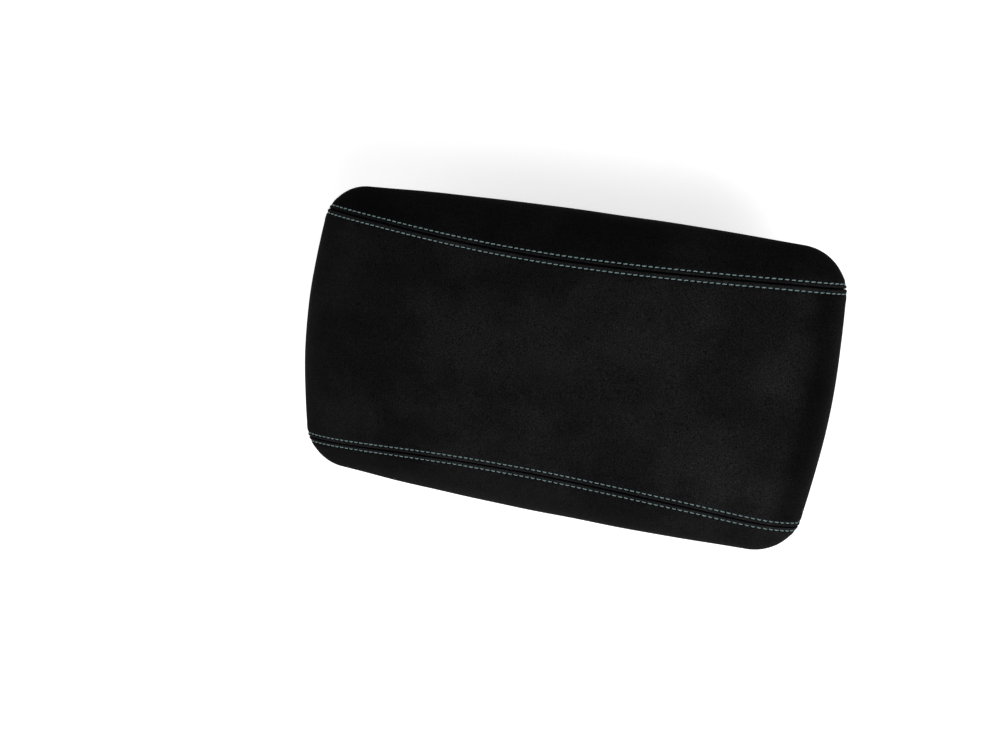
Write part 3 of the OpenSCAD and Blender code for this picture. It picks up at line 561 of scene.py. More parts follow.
def metal_group():
    """Drawn or pressed metal: faint lines along one direction, and duller handled patches."""
    inputs = (
        ("Color", "Base", (0.5, 0.5, 0.5, 1)),
        ("Vector", "Stretch", (1.0, 12.0, 12.0)),
        ("Float", "Line scale", 220.0),
        ("Float", "Roughness", 0.35),
    )

    def build(tree, came):
        where = came["Place"]
        drawn = add(tree, "ShaderNodeVectorMath", {0: where, 1: came["Stretch"]}, operation="MULTIPLY")
        lines = noise(tree, drawn.outputs[0], came["Line scale"], 3.0, 0.6)
        patches = noise(tree, where, 60.0, 4.0, 0.55)
        tone = shaded(tree, came["Base"], ramp(tree, patches, 0.78, 1.12, *CORE))
        duller = ramp(tree, patches, 0.10, -0.06, *CORE)
        spread = combine(tree, "ADD", duller, ramp(tree, lines, -0.05, 0.05, *CORE))
        return tone, combine(tree, "ADD", came["Roughness"], spread), lines

    return surface_group("Worked metal", inputs, build)


def made_material(name, tone, build):
    """The material of that name. If it isn't there yet, build gives what its surface gets."""
    material = bpy.data.materials.get(name)
    if material is None:
        material = bpy.data.materials.new(name)
        material.use_nodes = True
        material.diffuse_color = opaque(tone)
        tree = material.node_tree
        surface = tree.nodes["Principled BSDF"]
        for socket, value in build(tree).items():
            fill(tree, surface.inputs[socket], value)
    return material


def bump(tree, height, strength, depth):
    """The normal of a height, whose depth is in metres."""
    values = {"Strength": strength, "Distance": depth, "Height": height}
    return add(tree, "ShaderNodeBump", values).outputs["Normal"]


def grouped_material(name, group, tone, values, relief, shader=None, carried=None):
    """A material whose colour, roughness and bump come from a node group.

    tone is the group's input of that name and its colour, relief the strength and depth of the bump,
    shader the surface's own values, and carried the inputs that follow an attribute of the mesh."""

    def build(tree):
        where = add(tree, "ShaderNodeTexCoord").outputs["Object"]
        inputs = {"Place": where, tone[0]: opaque(tone[1]), **values}
        for socket, attribute in (carried or {}).items():
            inputs[socket] = add(tree, "ShaderNodeAttribute", attribute_name=attribute).outputs["Fac"]
        made = add(tree, "ShaderNodeGroup", inputs, node_tree=group).outputs
        return {
            "Base Color": made["Color"],
            "Roughness": made["Roughness"],
            "Normal": bump(tree, made["Height"], *relief),
            **(shader or {}),
        }

    return made_material(name, tone[1], build)


def suede_material():
    tones = bpy.context.scene.armrest_finishes
    values = {"Raised": opaque(tones.suede_raised), "Cloud scale": 17.0}
    return grouped_material(
        "Black suede",
        nap_and_painted_light_group(),
        ("Lying", tones.suede),
        values,
        (0.35, 0.00025),
        {"Specular IOR Level": 0.01},
        # The panels' painted light and shade comes in through this attribute
        {"Brushed up": "brushed_up"},
    )


def grained_material(name, tone, scale, roughness, relief=(0.25, 0.00012)):
    """A moulded finish; tone names its colour among the finishes."""
    tone = getattr(bpy.context.scene.armrest_finishes, tone)
    values = {"Grain scale": scale, "Roughness": roughness}
    return grouped_material(name, grain_group(), ("Base", tone), values, relief)


def metal_material(name, tone, stretch, roughness, coated=False):
    """A worked metal; tone names its colour among the finishes, stretch runs its lines."""
    tone = getattr(bpy.context.scene.armrest_finishes, tone)
    values = {"Stretch": stretch, "Roughness": roughness}
    shader = {"Metallic": 0.0, "Coat Weight": 0.25, "Coat Roughness": 0.3} if coated else {"Metallic": 1.0}
    return grouped_material(name, metal_group(), ("Base", tone), values, (0.15, 0.00006), shader)


def spring_material():
    return metal_material("Drawn spring wire", "spring_steel", (3.0, 3.0, 3.0), 0.34)


def thread_material():
    """Twisted thread: plies run round the stitch along its own UV map, with painted shade in the valleys
    between them.
    """
    tones = bpy.context.scene.armrest_finishes

    def build(tree):
        mapped = add(tree, "ShaderNodeUVMap", uv_map="thread_uv")
        apart = add(tree, "ShaderNodeSeparateXYZ", {0: mapped.outputs[0]}).outputs
        along = combine(tree, "MULTIPLY", apart["X"], PLY_TURNS)
        turned = combine(tree, "ADD", along, combine(tree, "MULTIPLY", apart["Y"], PLIES))
        wave = combine(tree, "SINE", combine(tree, "MULTIPLY", turned, 2 * math.pi))
        ply = ramp(tree, wave, 0.0, 1.0, -1.0, 0.2)
        where = add(tree, "ShaderNodeTexCoord").outputs["Object"]
        fuzz = noise(tree, where, 3000.0, 2.0, 0.6)
        # Painted shade in the valleys between the plies
        tone = mixed(tree, ply, opaque(tones.thread_shade), opaque(tones.thread))
        return {
            "Base Color": shaded(tree, tone, ramp(tree, fuzz, 0.8, 1.2, *MOST)),
            "Roughness": ramp(tree, fuzz, 0.55, 0.75),
            "Normal": bump(tree, ply, 0.5, 0.0001),
            "Sheen Weight": 0.1,
        }

    return made_material("Topstitching thread", tones.thread, build)


class PadSurface:
    """Skin of the pad with its two seams: gives places, directions and the relief beside a seam."""

    def __init__(self):
        scene = bpy.context.scene
        self.sizes = scene.armrest_pad
        self.seams = scene.armrest_seams
        self.form = PadForm(self.sizes)
        self.wall = self.form.wall_h
        self.fold = self.sizes.cover_thickness
        self.line, self.line_out = self.seam_line(0.0)
        self.run = path_length(self.line)

    def outward(self, x, y):
        """Plan direction that leads out of the outline."""
        step = 1e-6
        gx = (self.form.depth(x + step, y) - self.form.depth(x - step, y)) / (2 * step)
        gy = (self.form.depth(x, y + step) - self.form.depth(x, y - step)) / (2 * step)
        size = np.maximum(np.hypot(gx, gy), 1e-9)
        return -gx / size, -gy / size

    def over_top(self, x, y):
        """Places and normals of plan points on the shoulder or the top."""
        form = self.form
        step = 1e-5
        share = np.clip(form.depth(x, y) / form.roll_in, 0, 1)
        bend = np.sqrt(np.clip(1 - (1 - share) ** 2, 0, 1))
        rise = form.roll_up + form.crown(x, y)
        slope_x = (form.crown(x + step, y) - form.crown(x - step, y)) / (2 * step)
        slope_y = (form.crown(x, y + step) - form.crown(x, y - step)) / (2 * step)
        ox, oy = self.outward(x, y)
        steep = rise * (1 - share) / form.roll_in
        across = steep * ox - bend * bend * slope_x
        along = steep * oy - bend * bend * slope_y
        normal = np.stack([across, along, bend + 1e-9], -1)
        normal /= np.linalg.norm(normal, axis=-1, keepdims=True)
        return np.stack([x, y, form.wall_h + rise * bend], -1), normal

    def down_wall(self, x, y):
        """Places and normals from the outline point down the edge, round the fold and along the hem.

        x and y are one point for each column on the outline. The rows come first in the result."""
        form = self.form
        fold = self.fold
        # Inset, height, and the level and upward parts of the normal
        steps = []
        for z in np.linspace(form.wall_h, fold, WALL_ROWS + 1)[1:]:
            steps.append((form.tuck * (1 - z / form.wall_h), z, 1.0, WALL_LEAN))
        for angle in FOLD_ANGLES:
            level, down = math.cos(angle), math.sin(angle)
            steps.append((form.tuck + fold * (1 - level), fold * (1 - down), level, -down))
        for share in HEM_SHARES:
            steps.append((form.tuck + fold + (self.sizes.hem_width - fold) * share, 0.0, 0.0, -1.0))
        ox, oy = self.outward(x, y)
        rows = []
        normals = []
        for inset, z, level, up in steps:
            rows.append(np.stack([x - ox * inset, y - oy * inset, np.full_like(x, z)], -1))
            normals.append(np.stack([ox * level, oy * level, np.full_like(x, up)], -1))
        normals = np.array(normals)
        normals /= np.linalg.norm(normals, axis=-1, keepdims=True)
        return np.array(rows), normals

    def seam_line(self, off):
        """The line at a fixed distance from the right seam, from the front fold to the rear fold."""
        form = self.form
        shift = [off, off]
        turn = np.linspace(0, np.pi, SEAM_LINE_POINTS)
        for _ in range(3 if off else 1):
            ends = [form.end_y(np.full(1, form.seam[1 + k] + shift[k]), k) for k in (0, 1)]
            y = (ends[0] + ends[1]) / 2 - np.cos(turn) * (ends[1] - ends[0]) / 2
            across = np.interp(y, SHIFT_AT * form.half_l, self.plan_shift(off))
            y = np.clip(y, ends[0] + 1e-7, ends[1] - 1e-7)
            top, up = self.over_top(form.seam_x(y) + across, y)
            shift = [float(across[0]), float(across[-1])]
        rows = []
        for k in (0, 1):
            down, out = self.down_wall(np.full(1, form.seam[1 + k] + shift[k]), ends[k])
            rows.append((down[:SEAM_FOOT, 0], out[:SEAM_FOOT, 0]))
        places = np.concatenate([rows[0][0][::-1], top, rows[1][0]])
        normals = np.concatenate([rows[0][1][::-1], up, rows[1][1]])
        return places, normals

    def plan_shift(self, off):
        """Plan distance from the seam, at places along it, that gives a fixed distance on the skin."""
        shift = np.full(len(SHIFT_AT), off)
        if not off:
            return shift
        form = self.form
        y = SHIFT_AT * form.half_l
        for _ in range(4):
            places, _ = self.over_top(form.seam_x(y) + shift, y)
            shift = shift * abs(off) / self.beside(places)[0]
        return shift

    def beside(self, places):
        """Distance of places from the right seam, and how far along it they lie."""
        flat = places.reshape(-1, 3)
        found = [self.nearest(flat[start : start + BATCH]) for start in range(0, len(flat), BATCH)]
        return np.concatenate(found, axis=1).reshape(2, *places.shape[:-1])

    def nearest(self, part):
        """The same for one batch of points, against each one's nearest stretch of the seam."""
        line = self.line
        gap = np.linalg.norm(part[:, None, :] - line[None, :, :], axis=2)
        best = gap.argmin(1)
        ahead = np.clip(best + 1, 0, len(line) - 1)
        back = np.clip(best - 1, 0, len(line) - 1)
        rows = np.arange(len(part))
        other = np.where(gap[rows, ahead] < gap[rows, back], ahead, back)
        edge = line[other] - line[best]
        size = np.maximum((edge * edge).sum(1), 1e-18)
        share = np.clip(((part - line[best]) * edge).sum(1) / size, 0, 1)
        near = np.linalg.norm(part - line[best] - edge * share[:, None], axis=1)
        return near, self.run[best] + (self.run[other] - self.run[best]) * share

    def relief(self, places):
        """How far the suede stands off the plain skin by the right seam, its ridge and its turned edge; also
        masks for the painted highlight on the ridge and the painted shade on the turned edge.
        """
        s = self.seams
        near, along = self.beside(places)
        near = np.maximum(near - s.seam_gap / 2, 0)
        half = s.gauge / 2 - s.seam_gap / 2
        roll = np.clip(near / s.edge_roll, 0, 1)
        height = -s.edge_roll * (1 - np.sqrt(1 - (1 - roll) ** 2))
        crest = bell(near, half * RIDGE_AT, half * RIDGE_REACH)
        height += s.ridge * crest
        height += s.puff * bell(near - half, PUFF_AT, PUFF_REACH) * (near > half)
        beat = 0.5 - 0.5 * np.cos(2 * np.pi * (along - self.first_stitch()) / s.pitch)
        height -= s.dent * (DENT_BETWEEN + DENT_BEAT * beat) * bell(near - half, 0.0, DENT_REACH)
        # The second value masks the painted highlight on the ridge, the third the painted shade on the turned
        # edge
        return height, crest * roll, 1 - roll

    def nap_lie(self, places, base, shades_front_shoulder=False):
        """Painted light and shade on one panel, set as how its nap lies: lighter towards the front, and
        painted shade where the middle panel turns down at the front.
        """
        nap = bpy.context.scene.armrest_nap
        x, y = places[..., 0], places[..., 1]
        painted_tone = base - nap.forward * y / self.form.half_l
        # Painted shade on the front shoulder of the middle panel
        if shades_front_shoulder:
            behind = (y - self.form.end_y(x, 0)) / nap.nose_width
            share = np.clip((NOSE_SHADE_END - behind) / NOSE_SHADE_FADE, 0, 1)
            share = share * share * (3 - 2 * share) * np.clip(NOSE_SHADE_RIM + behind, NOSE_SHADE_RIM, 1)
            painted_tone = painted_tone + (nap.nose - painted_tone) * share
        return painted_tone

    def first_stitch(self):
        """Run along the seam at which the middle of the first stitch lies."""
        pitch = self.seams.pitch
        total = self.run[-1]
        count = math.floor((total - 2 * pitch) / pitch)
        return (total - count * pitch) / 2

    def unevenness(self, places):
        """Small, broad unevenness of hand-drawn suede over foam, the same on both sides."""
        # Waves from 50 to 150 mm long
        x, y = places[..., 0], places[..., 1]
        swell = np.cos(x * 92) * np.cos(y * 41 + 0.6) + np.sin(y * 77 + 0.7 * np.cos(x * 63))
        swell += 0.6 * np.cos(x * 128) * np.sin(y * 128 + 2.0)
        above = np.clip((places[..., 2] - self.wall * 0.6) / 0.01, 0, 1)
        return self.seams.unevenness * swell * above


def path_length(points):
    steps = np.linalg.norm(np.diff(points, axis=0), axis=1)
    return np.concatenate([[0.0], np.cumsum(steps)])


def closed_piece(name, verts, faces, material, painted_tone=None):
    """A smooth closed piece from points in the pad's frame, with the painted light and shade at each point
    kept on it where given.
    """
    mesh = bpy.data.meshes.new(name)
    mesh.from_pydata((verts + PAD_ORIGIN).tolist(), [], faces.tolist())
    if painted_tone is not None:
        mesh.attributes.new("brushed_up", "FLOAT", "POINT").data.foreach_set("value", painted_tone)
    shape = bmesh.new()
    shape.from_mesh(mesh)
    bmesh.ops.remove_doubles(shape, verts=shape.verts, dist=SAME_POINT)
    bmesh.ops.dissolve_degenerate(shape, edges=shape.edges, dist=NO_LENGTH)
    bmesh.ops.recalc_face_normals(shape, faces=shape.faces)
    if shape.calc_volume(signed=True) < 0:
        bmesh.ops.reverse_faces(shape, faces=shape.faces)
    shape.to_mesh(mesh)
    shape.free()
    mesh.polygons.foreach_set("use_smooth", [True] * len(mesh.polygons))
    mesh.materials.append(material)
    return linked(bpy.data.objects.new(name, mesh))


def linked(made):
    bpy.context.scene.collection.objects.link(made)
    return made


def grid_shell(name, outer, inner, material, crest, mirrored=False):
    """A closed piece between two grids of the same size, with its border walled."""
    rows, cols = outer.shape[:2]
    count = rows * cols
    verts = np.concatenate([outer.reshape(-1, 3), inner.reshape(-1, 3)])
    if mirrored:
        verts = verts * np.array([-1.0, 1.0, 1.0])
    index = np.arange(count).reshape(rows, cols)
    quads = np.stack([index[:-1, :-1], index[1:, :-1], index[1:, 1:], index[:-1, 1:]], -1).reshape(-1, 4)
    border = np.concatenate([index[0, :], index[1:, -1], index[-1, -2::-1], index[-2:0:-1, 0]])
    ahead = np.roll(border, -1)
    walls = np.stack([border, ahead, ahead + count, border + count], -1)
    faces = np.concatenate([quads, quads[:, ::-1] + count, walls])
    return closed_piece(name, verts, faces, material, np.concatenate([crest.ravel(), np.zeros(count)]))


def middle_panel(surface):
    """Grids of the middle panel, from the front hem over the top to the rear hem."""
    form = surface.form
    gap = surface.seams.seam_gap / 2
    near = SEAM_COLUMNS
    inside = np.linspace(-1, 1, MIDDLE_COLUMNS)[1:-1]

    def columns(y):
        edge = form.seam_x(y) - gap
        left = -(edge[:, None] - near[None, :])
        middle = (edge - near[-1])[:, None] * inside[None, :]
        return np.concatenate([left, middle, -left[:, ::-1]], axis=1)

    x_front = columns(np.array([-form.half_l]))[0]
    x_rear = columns(np.array([form.half_l]))[0]
    y_front = form.end_y(x_front, 0)
    y_rear = form.end_y(x_rear, 1)
    front, front_out = surface.down_wall(x_front, y_front + 1e-9)
    rear, rear_out = surface.down_wall(x_rear, y_rear - 1e-9)
    shoulder = 1 - np.cos(np.linspace(0, np.pi / 2, SHOULDER_ROWS))
    between = int((2 * form.half_l - 2 * form.roll_in) / surface.sizes.row_step)
    first = y_front + shoulder[-1] * form.roll_in
    last = y_rear - form.roll_in
    rows = [y_front + share * form.roll_in for share in shoulder]
    rows += [first + (last - first) * step for step in np.linspace(0, 1, between)[1:-1]]
    rows += [y_rear - share * form.roll_in for share in shoulder[::-1]]
    y = np.array(rows)
    x = np.empty_like(y)
    for j in range(y.shape[1]):
        x[:, j] = columns(y[:, j])[:, j]
    y = np.clip(y, y_front + 1e-8, y_rear - 1e-8)
    top, up = surface.over_top(x, y)
    skin = np.concatenate([front[::-1], top, rear])
    out = np.concatenate([front_out[::-1], up, rear_out])
    return skin, out


def arc_points(cx, cy, radius, angle):
    return np.stack([cx + radius * np.cos(angle), cy + radius * np.sin(angle)], -1)


def side_panel(surface):
    """Grids of the right side panel: rows run from the seam to the edge and round the hem."""
    form = surface.form
    gap = surface.seams.seam_gap / 2
    near = SEAM_COLUMNS
    corners = []
    for k in (0, 1):
        x0 = form.seam[1 + k] + gap
        cx, cy = form.corner[k]
        start = (1 if k else -1) * math.acos((x0 - cx) / form.corner_r)
        stop = form.side_angle[k]
        ease = np.linspace(0, 1, CORNER_ROWS)[:-1] ** CORNER_EASE
        angle = start + (stop - start) * ease
        corners.append(arc_points(cx, cy, form.corner_r, angle))
    count = int(2 * form.half_l * SIDE_SHARE / surface.sizes.row_step)
    angle = np.linspace(form.side_angle[0], form.side_angle[1], count)
    side = arc_points(form.side_cx, 0.0, form.side_r, angle)
    edge = np.concatenate([corners[0], side, corners[1][::-1]])
    y = edge[:, 1]
    seam = form.seam_x(y) + gap
    width = np.maximum(edge[:, 0] - seam, 0)
    squeeze = np.minimum(1, width / FULL_RELIEF_WIDTH)
    head = near[None, :] * squeeze[:, None]
    spread = np.sin(np.linspace(0, np.pi / 2, SIDE_COLUMNS))[1:]
    tail = head[:, -1:] + (width[:, None] - head[:, -1:]) * spread[None, :]
    x = seam[:, None] + np.concatenate([head, tail], axis=1)
    across = np.repeat(y[:, None], x.shape[1], axis=1)
    top, up = surface.over_top(x, across)
    down, out = surface.down_wall(edge[:, 0], edge[:, 1])
    top[0] = top[0, -1:]
    top[-1] = top[-1, -1:]
    skin = np.concatenate([top, down.transpose(1, 0, 2)], axis=1)
    normals = np.concatenate([up, out.transpose(1, 0, 2)], axis=1)
    return skin, normals


def raised(surface, skin, normals):
    """The outer face with its relief, the plain inner face, and the painted light and shade by the seam: a
    painted highlight on its ridges and painted shade on its turned edges.
    """
    folded = np.concatenate([np.abs(skin[..., :1]), skin[..., 1:]], axis=-1)
    lift, crest, turned = surface.relief(folded)
    above = np.clip((skin[..., 2] - surface.fold) / (surface.wall + FULL_RELIEF_UP - surface.fold), 0, 1)
    share = EDGE_RELIEF + (1 - EDGE_RELIEF) * above * above
    calm = np.clip(above * FOLD_FADE, 0, 1) * share
    lift = lift * calm + surface.unevenness(skin)
    outer = skin + normals * lift[..., None]
    inner = skin - normals * surface.sizes.cover_thickness
    # Painted highlight on the ridges and painted shade on the turned edges
    return outer, inner, crest * calm + turned * bpy.context.scene.armrest_nap.in_seam


def tape_strip(surface, side, material):
    """The backing tape under one seam, with the turned allowances that stand on it in the seam's gap."""
    half = surface.seams.tape_width / 2
    rib = surface.seams.seam_gap / 2 - ALLOWANCE_CLEARANCE
    low = surface.sizes.cover_thickness + TAPE_CLEARANCE
    high = surface.seams.allowance_depth
    tape = ((half, low), (half / 2, low), (rib, low), (rib, high))
    section = (*((-off, depth) for off, depth in tape), *reversed(tape))
    columns = [surface.seam_line(off) for off, _ in section]
    depth = np.array([top for _, top in section])[None, :, None]
    skin = np.stack([places for places, _ in columns], axis=1)[::TAPE_ROWS]
    out = np.stack([normals for _, normals in columns], axis=1)[::TAPE_ROWS]
    name = "seam_tape_right" if side > 0 else "seam_tape_left"
    # Painted shade: the tape and allowances take the darkest tone, standing for shade in the seam's gap
    crest = np.full(skin.shape[:2], bpy.context.scene.armrest_nap.in_seam)
    inner = skin - out * (low + TAPE_THICKNESS)
    return grid_shell(name, skin - out * depth, inner, material, crest, side < 0)


def put_on(piece, body, nodes):
    """Hands a finished piece to the frame."""
    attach(piece, body)
    if nodes:
        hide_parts(*nodes)


class ARMREST_OT_suede_cover(Operator):
    """Makes the three suede panels with their seams, hems and turned edges"""

    bl_idname = "armrest.suede_cover"
    bl_label = "Suede cover"

    def execute(self, context):
        surface = PadSurface()
        suede = suede_material()
        nap = context.scene.armrest_nap
        middle = middle_panel(surface)
        right = side_panel(surface)
        for name, node, (skin, out), base, down, mirrored in (
            ("suede_middle_panel", "cover_centre_panel", middle, nap.middle, True, False),
            ("suede_right_panel", "cover_right_panel", right, nap.right, False, False),
            ("suede_left_panel", "cover_left_panel", right, nap.left, False, True),
        ):
            outer, inner, crest = raised(surface, skin, out)
            # Painted light and shade: painted highlight on the seam ridges, painted shade in the seams and on
            # the front shoulder, and each panel lighter and darker by the light
            painted_tone = crest + surface.nap_lie(skin, base, down)
            piece = grid_shell(name, outer, inner, suede, painted_tone, mirrored)
            put_on(piece, "lid", [node])
        for side in (1, -1):
            put_on(tape_strip(surface, side, suede), "lid", [])
        return {"FINISHED"}


def outline_ring(form):
    """Plan points round the outline, with their outward directions."""
    points = []
    for k, sign in ((1, 1), (1, -1), (0, -1), (0, 1)):
        sa, ea = form.side_angle[k], form.end_angle[k]
        mid = math.pi / 2 if k else -math.pi / 2
        arc = [(form.side_cx, 0.0, form.side_r, a) for a in np.linspace(0, sa, FOAM_SIDE_STEPS)[:-1]]
        arc += [(*form.corner[k], form.corner_r, a) for a in np.linspace(sa, ea, FOAM_CORNER_STEPS)[:-1]]
        arc += [(0.0, form.end_cy[k], form.end_r[k], a) for a in np.linspace(ea, mid, FOAM_END_STEPS)]
        part = []
        for cx, cy, r, a in arc:
            ux, uy = math.cos(a), math.sin(a)
            part.append((sign * (cx + r * ux), cy + r * uy, sign * ux, uy))
        if (k == 1) == (sign == -1):
            part = part[::-1]
        points += part[:-1]
    return np.array(points)


def foam_rings(form, ring, inset, foot, thin):
    """Rings of the foam's face from its foot over the shoulder to its middle, thin metres lower on top."""
    rows = []

    def add_ring(x, y, z):
        rows.append(np.stack([x, y, z - thin], -1))

    for z in (foot, form.wall_h * 0.5, form.wall_h):
        d = inset + form.tuck * (1 - z / form.wall_h)
        height = np.full(len(ring), z - thin * z / form.wall_h)
        rows.append(np.stack([ring[:, 0] - ring[:, 2] * d, ring[:, 1] - ring[:, 3] * d, height], -1))
    for share in 1 - np.cos(np.linspace(0, np.pi / 2, FOAM_SHOULDER_STEPS))[1:]:
        d = inset + share * (form.roll_in - inset)
        x = ring[:, 0] - ring[:, 2] * d
        y = ring[:, 1] - ring[:, 3] * d
        add_ring(x, y, form.top(x, y, inset, FOAM_TOP_CLEARANCE))
    x0, y0 = rows[-1][:, 0], rows[-1][:, 1]
    for s in FOAM_TOP_RINGS:
        add_ring(x0 * s, y0 * s, form.top(x0 * s, y0 * s, inset, FOAM_TOP_CLEARANCE))
    return np.array(rows)


class ARMREST_OT_foam(Operator):
    """Makes the moulded foam under the cover"""

    bl_idname = "armrest.foam"
    bl_label = "Foam pad"

    def execute(self, context):
        surface = PadSurface()
        form = surface.form
        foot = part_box("foam_pad")[0][2] - PAD_ORIGIN[2]
        under = surface.sizes.cover_thickness + FOAM_SIDE_CLEARANCE
        ring = outline_ring(form)
        outer = foam_rings(form, ring, under, foot, 0.0)
        inner = foam_rings(form, ring, under + FOAM_SIDE, foot, FOAM_TOP)
        rows, cols = outer.shape[:2]
        count = rows * cols
        index = np.arange(count).reshape(rows, cols)
        ahead = np.roll(index, -1, axis=1)
        quads = np.stack([index[:-1], ahead[:-1], ahead[1:], index[1:]], -1).reshape(-1, 4)
        rim = np.stack([index[0], index[0] + count, ahead[0] + count, ahead[0]], -1)
        faces = np.concatenate([quads, quads[:, ::-1] + count, rim])
        verts = np.concatenate([outer.reshape(-1, 3), inner.reshape(-1, 3)])
        foam = grained_material("Moulded foam", "foam", 1400.0, 0.92, (0.6, 0.0004))
        piece = closed_piece("moulded_foam", verts, faces, foam)
        put_on(piece, "lid", ["foam_pad"])
        return {"FINISHED"}


def path_tree(name, inputs, build):
    """A geometry node tree that grows something along paths; build gives its geometry."""

    def whole(tree, came):
        real = add(tree, "GeometryNodeRealizeInstances", {0: build(tree, came)}).outputs[0]
        painted = add(tree, "GeometryNodeSetMaterial", {"Geometry": real, "Material": came["Material"]})
        return [painted.outputs[0]]

    inputs = (("Geometry", "Geometry", None), *inputs, ("Material", "Material", None))
    return made_tree(name, "GeometryNodeTree", inputs, (("Geometry", "Geometry"),), whole)


def swept(tree, curve, circle):
    """A tube along a curve, with closed ends."""
    values = {"Curve": curve, "Profile Curve": circle, "Fill Caps": True}
    return add(tree, "GeometryNodeCurveToMesh", values).outputs[0]


def circled(tree, radius, sides):
    values = {"Radius": radius, "Resolution": sides}
    return add(tree, "GeometryNodeCurvePrimitiveCircle", values).outputs[0]


def with_factor(tree, curve, name):
    """Keeps on a curve how far along it each point lies; gives the curve and that value."""
    keep = tree.nodes.new("GeometryNodeCaptureAttribute")
    keep.capture_items.new("FLOAT", name)
    fill(tree, keep.inputs["Geometry"], curve)
    fill(tree, keep.inputs[1], add(tree, "GeometryNodeSplineParameter").outputs["Factor"])
    return keep.outputs["Geometry"], keep.outputs[1]


def smoothed(tree, geometry):
    return add(tree, "GeometryNodeSetShadeSmooth", {"Geometry": geometry}).outputs[0]


def at_random(tree, low, high, seed):
    values = {2: low, 3: high, "Seed": seed}
    return add(tree, "FunctionNodeRandomValue", values, data_type="FLOAT").outputs[1]


def one_stitch(tree, came):
    """An arc of thread that dives into the cover at both ends, along X and upright on Z."""
    reach = combine(tree, "MULTIPLY", came["Stitch length"], 0.5)
    radius = came["Thread radius"]
    dive = combine(tree, "MULTIPLY", radius, STITCH_DIVE)
    crest = combine(tree, "MULTIPLY", radius, STITCH_CREST)
    arc = {"Resolution": STITCH_STEPS}
    for name, share, height in (
        ("Start", -1.0, dive),
        ("Start Handle", -STITCH_BEND, crest),
        ("End Handle", STITCH_BEND, crest),
        ("End", 1.0, dive),
    ):
        arc[name] = vector(tree, combine(tree, "MULTIPLY", reach, share), 0.0, height)
    bow = add(tree, "GeometryNodeCurvePrimitiveBezierSegment", arc, mode="POSITION").outputs[0]
    curve, along = with_factor(tree, bow, "Along")
    circle, around = with_factor(tree, circled(tree, radius, THREAD_SIDES), "Around")
    place = vector(tree, along, around, 0.0)
    values = {"Geometry": swept(tree, curve, circle), "Name": "thread_uv", "Value": place}
    mapped = add(tree, "GeometryNodeStoreNamedAttribute", values, data_type="FLOAT2", domain="CORNER")
    return smoothed(tree, mapped.outputs[0])


def stitch_tree():
    """Places bent thread stitches at one pitch along each path, upright on its normals."""
    inputs = (
        ("Float", "Pitch", 0.0037),
        ("Float", "Stitch length", 0.003),
        ("Float", "Thread radius", 0.0004),
        ("Float", "Slant", 0.1),
        ("Int", "Seed", 1),
    )

    def build(tree, came):
        facing = add(tree, "GeometryNodeInputNamedAttribute", {"Name": "facing"}, data_type="FLOAT_VECTOR")
        line = add(tree, "GeometryNodeMeshToCurve", {0: came["Geometry"]}).outputs[0]
        values = {"Curve": line, "Length": came["Pitch"]}
        spaced = add(tree, "GeometryNodeCurveToPoints", values, mode="LENGTH").outputs
        ahead = add(tree, "FunctionNodeAlignRotationToVector", {"Vector": spaced["Tangent"]}, axis="X")
        values = {"Rotation": ahead.outputs[0], "Vector": facing.outputs[0]}
        upright = add(tree, "FunctionNodeAlignRotationToVector", values, axis="Z", pivot_axis="X").outputs[0]
        skew = combine(tree, "ADD", came["Slant"], at_random(tree, -0.05, 0.05, came["Seed"]))
        slanted = add(tree, "FunctionNodeEulerToRotation", {0: vector(tree, 0.0, 0.0, skew)}).outputs[0]
        turned = add(tree, "FunctionNodeRotateRotation", {0: upright, 1: slanted}, rotation_space="LOCAL")
        values = {
            "Points": spaced["Points"],
            "Instance": one_stitch(tree, came),
            "Rotation": turned.outputs[0],
            "Scale": at_random(tree, 0.95, 1.04, combine(tree, "ADD", came["Seed"], 11.0)),
        }
        return add(tree, "GeometryNodeInstanceOnPoints", values).outputs[0]

    return path_tree("Stitches along a path", inputs, build)


def wire_tree():
    """Turns each path into a round wire with closed ends."""

    def build(tree, came):
        line = add(tree, "GeometryNodeMeshToCurve", {0: came["Geometry"]}).outputs[0]
        return smoothed(tree, swept(tree, line, circled(tree, came["Wire radius"], WIRE_SIDES)))

    return path_tree("Wire along a path", (("Float", "Wire radius", 0.0007),), build)


def grown(name, paths, facings, tree, values):
    """Runs a geometry tree over polylines and keeps the result as a plain mesh object."""
    mesh = bpy.data.meshes.new(name + "_path")
    verts = []
    edges = []
    for path in paths:
        start = len(verts)
        verts += [tuple(p) for p in path]
        edges += [(start + i, start + i + 1) for i in range(len(path) - 1)]
    mesh.from_pydata(verts, edges, [])
    if facings is not None:
        attribute = mesh.attributes.new("facing", "FLOAT_VECTOR", "POINT")
        attribute.data.foreach_set("vector", np.concatenate(facings).astype(np.float32).ravel())
    piece = linked(bpy.data.objects.new(name, mesh))
    modifier = piece.modifiers.new("Grow", "NODES")
    modifier.node_group = tree
    named = {item.name: item.identifier for item in tree.interface.items_tree if item.in_out == "INPUT"}
    for key, value in values.items():
        modifier[named[key]] = value
    depsgraph = bpy.context.evaluated_depsgraph_get()
    depsgraph.update()
    evaluated = piece.evaluated_get(depsgraph)
    result = bpy.data.meshes.new_from_object(evaluated, preserve_all_data_layers=True, depsgraph=depsgraph)
    piece.modifiers.remove(modifier)
    piece.data = result
    result.name = name
    bpy.data.meshes.remove(mesh)
    return piece


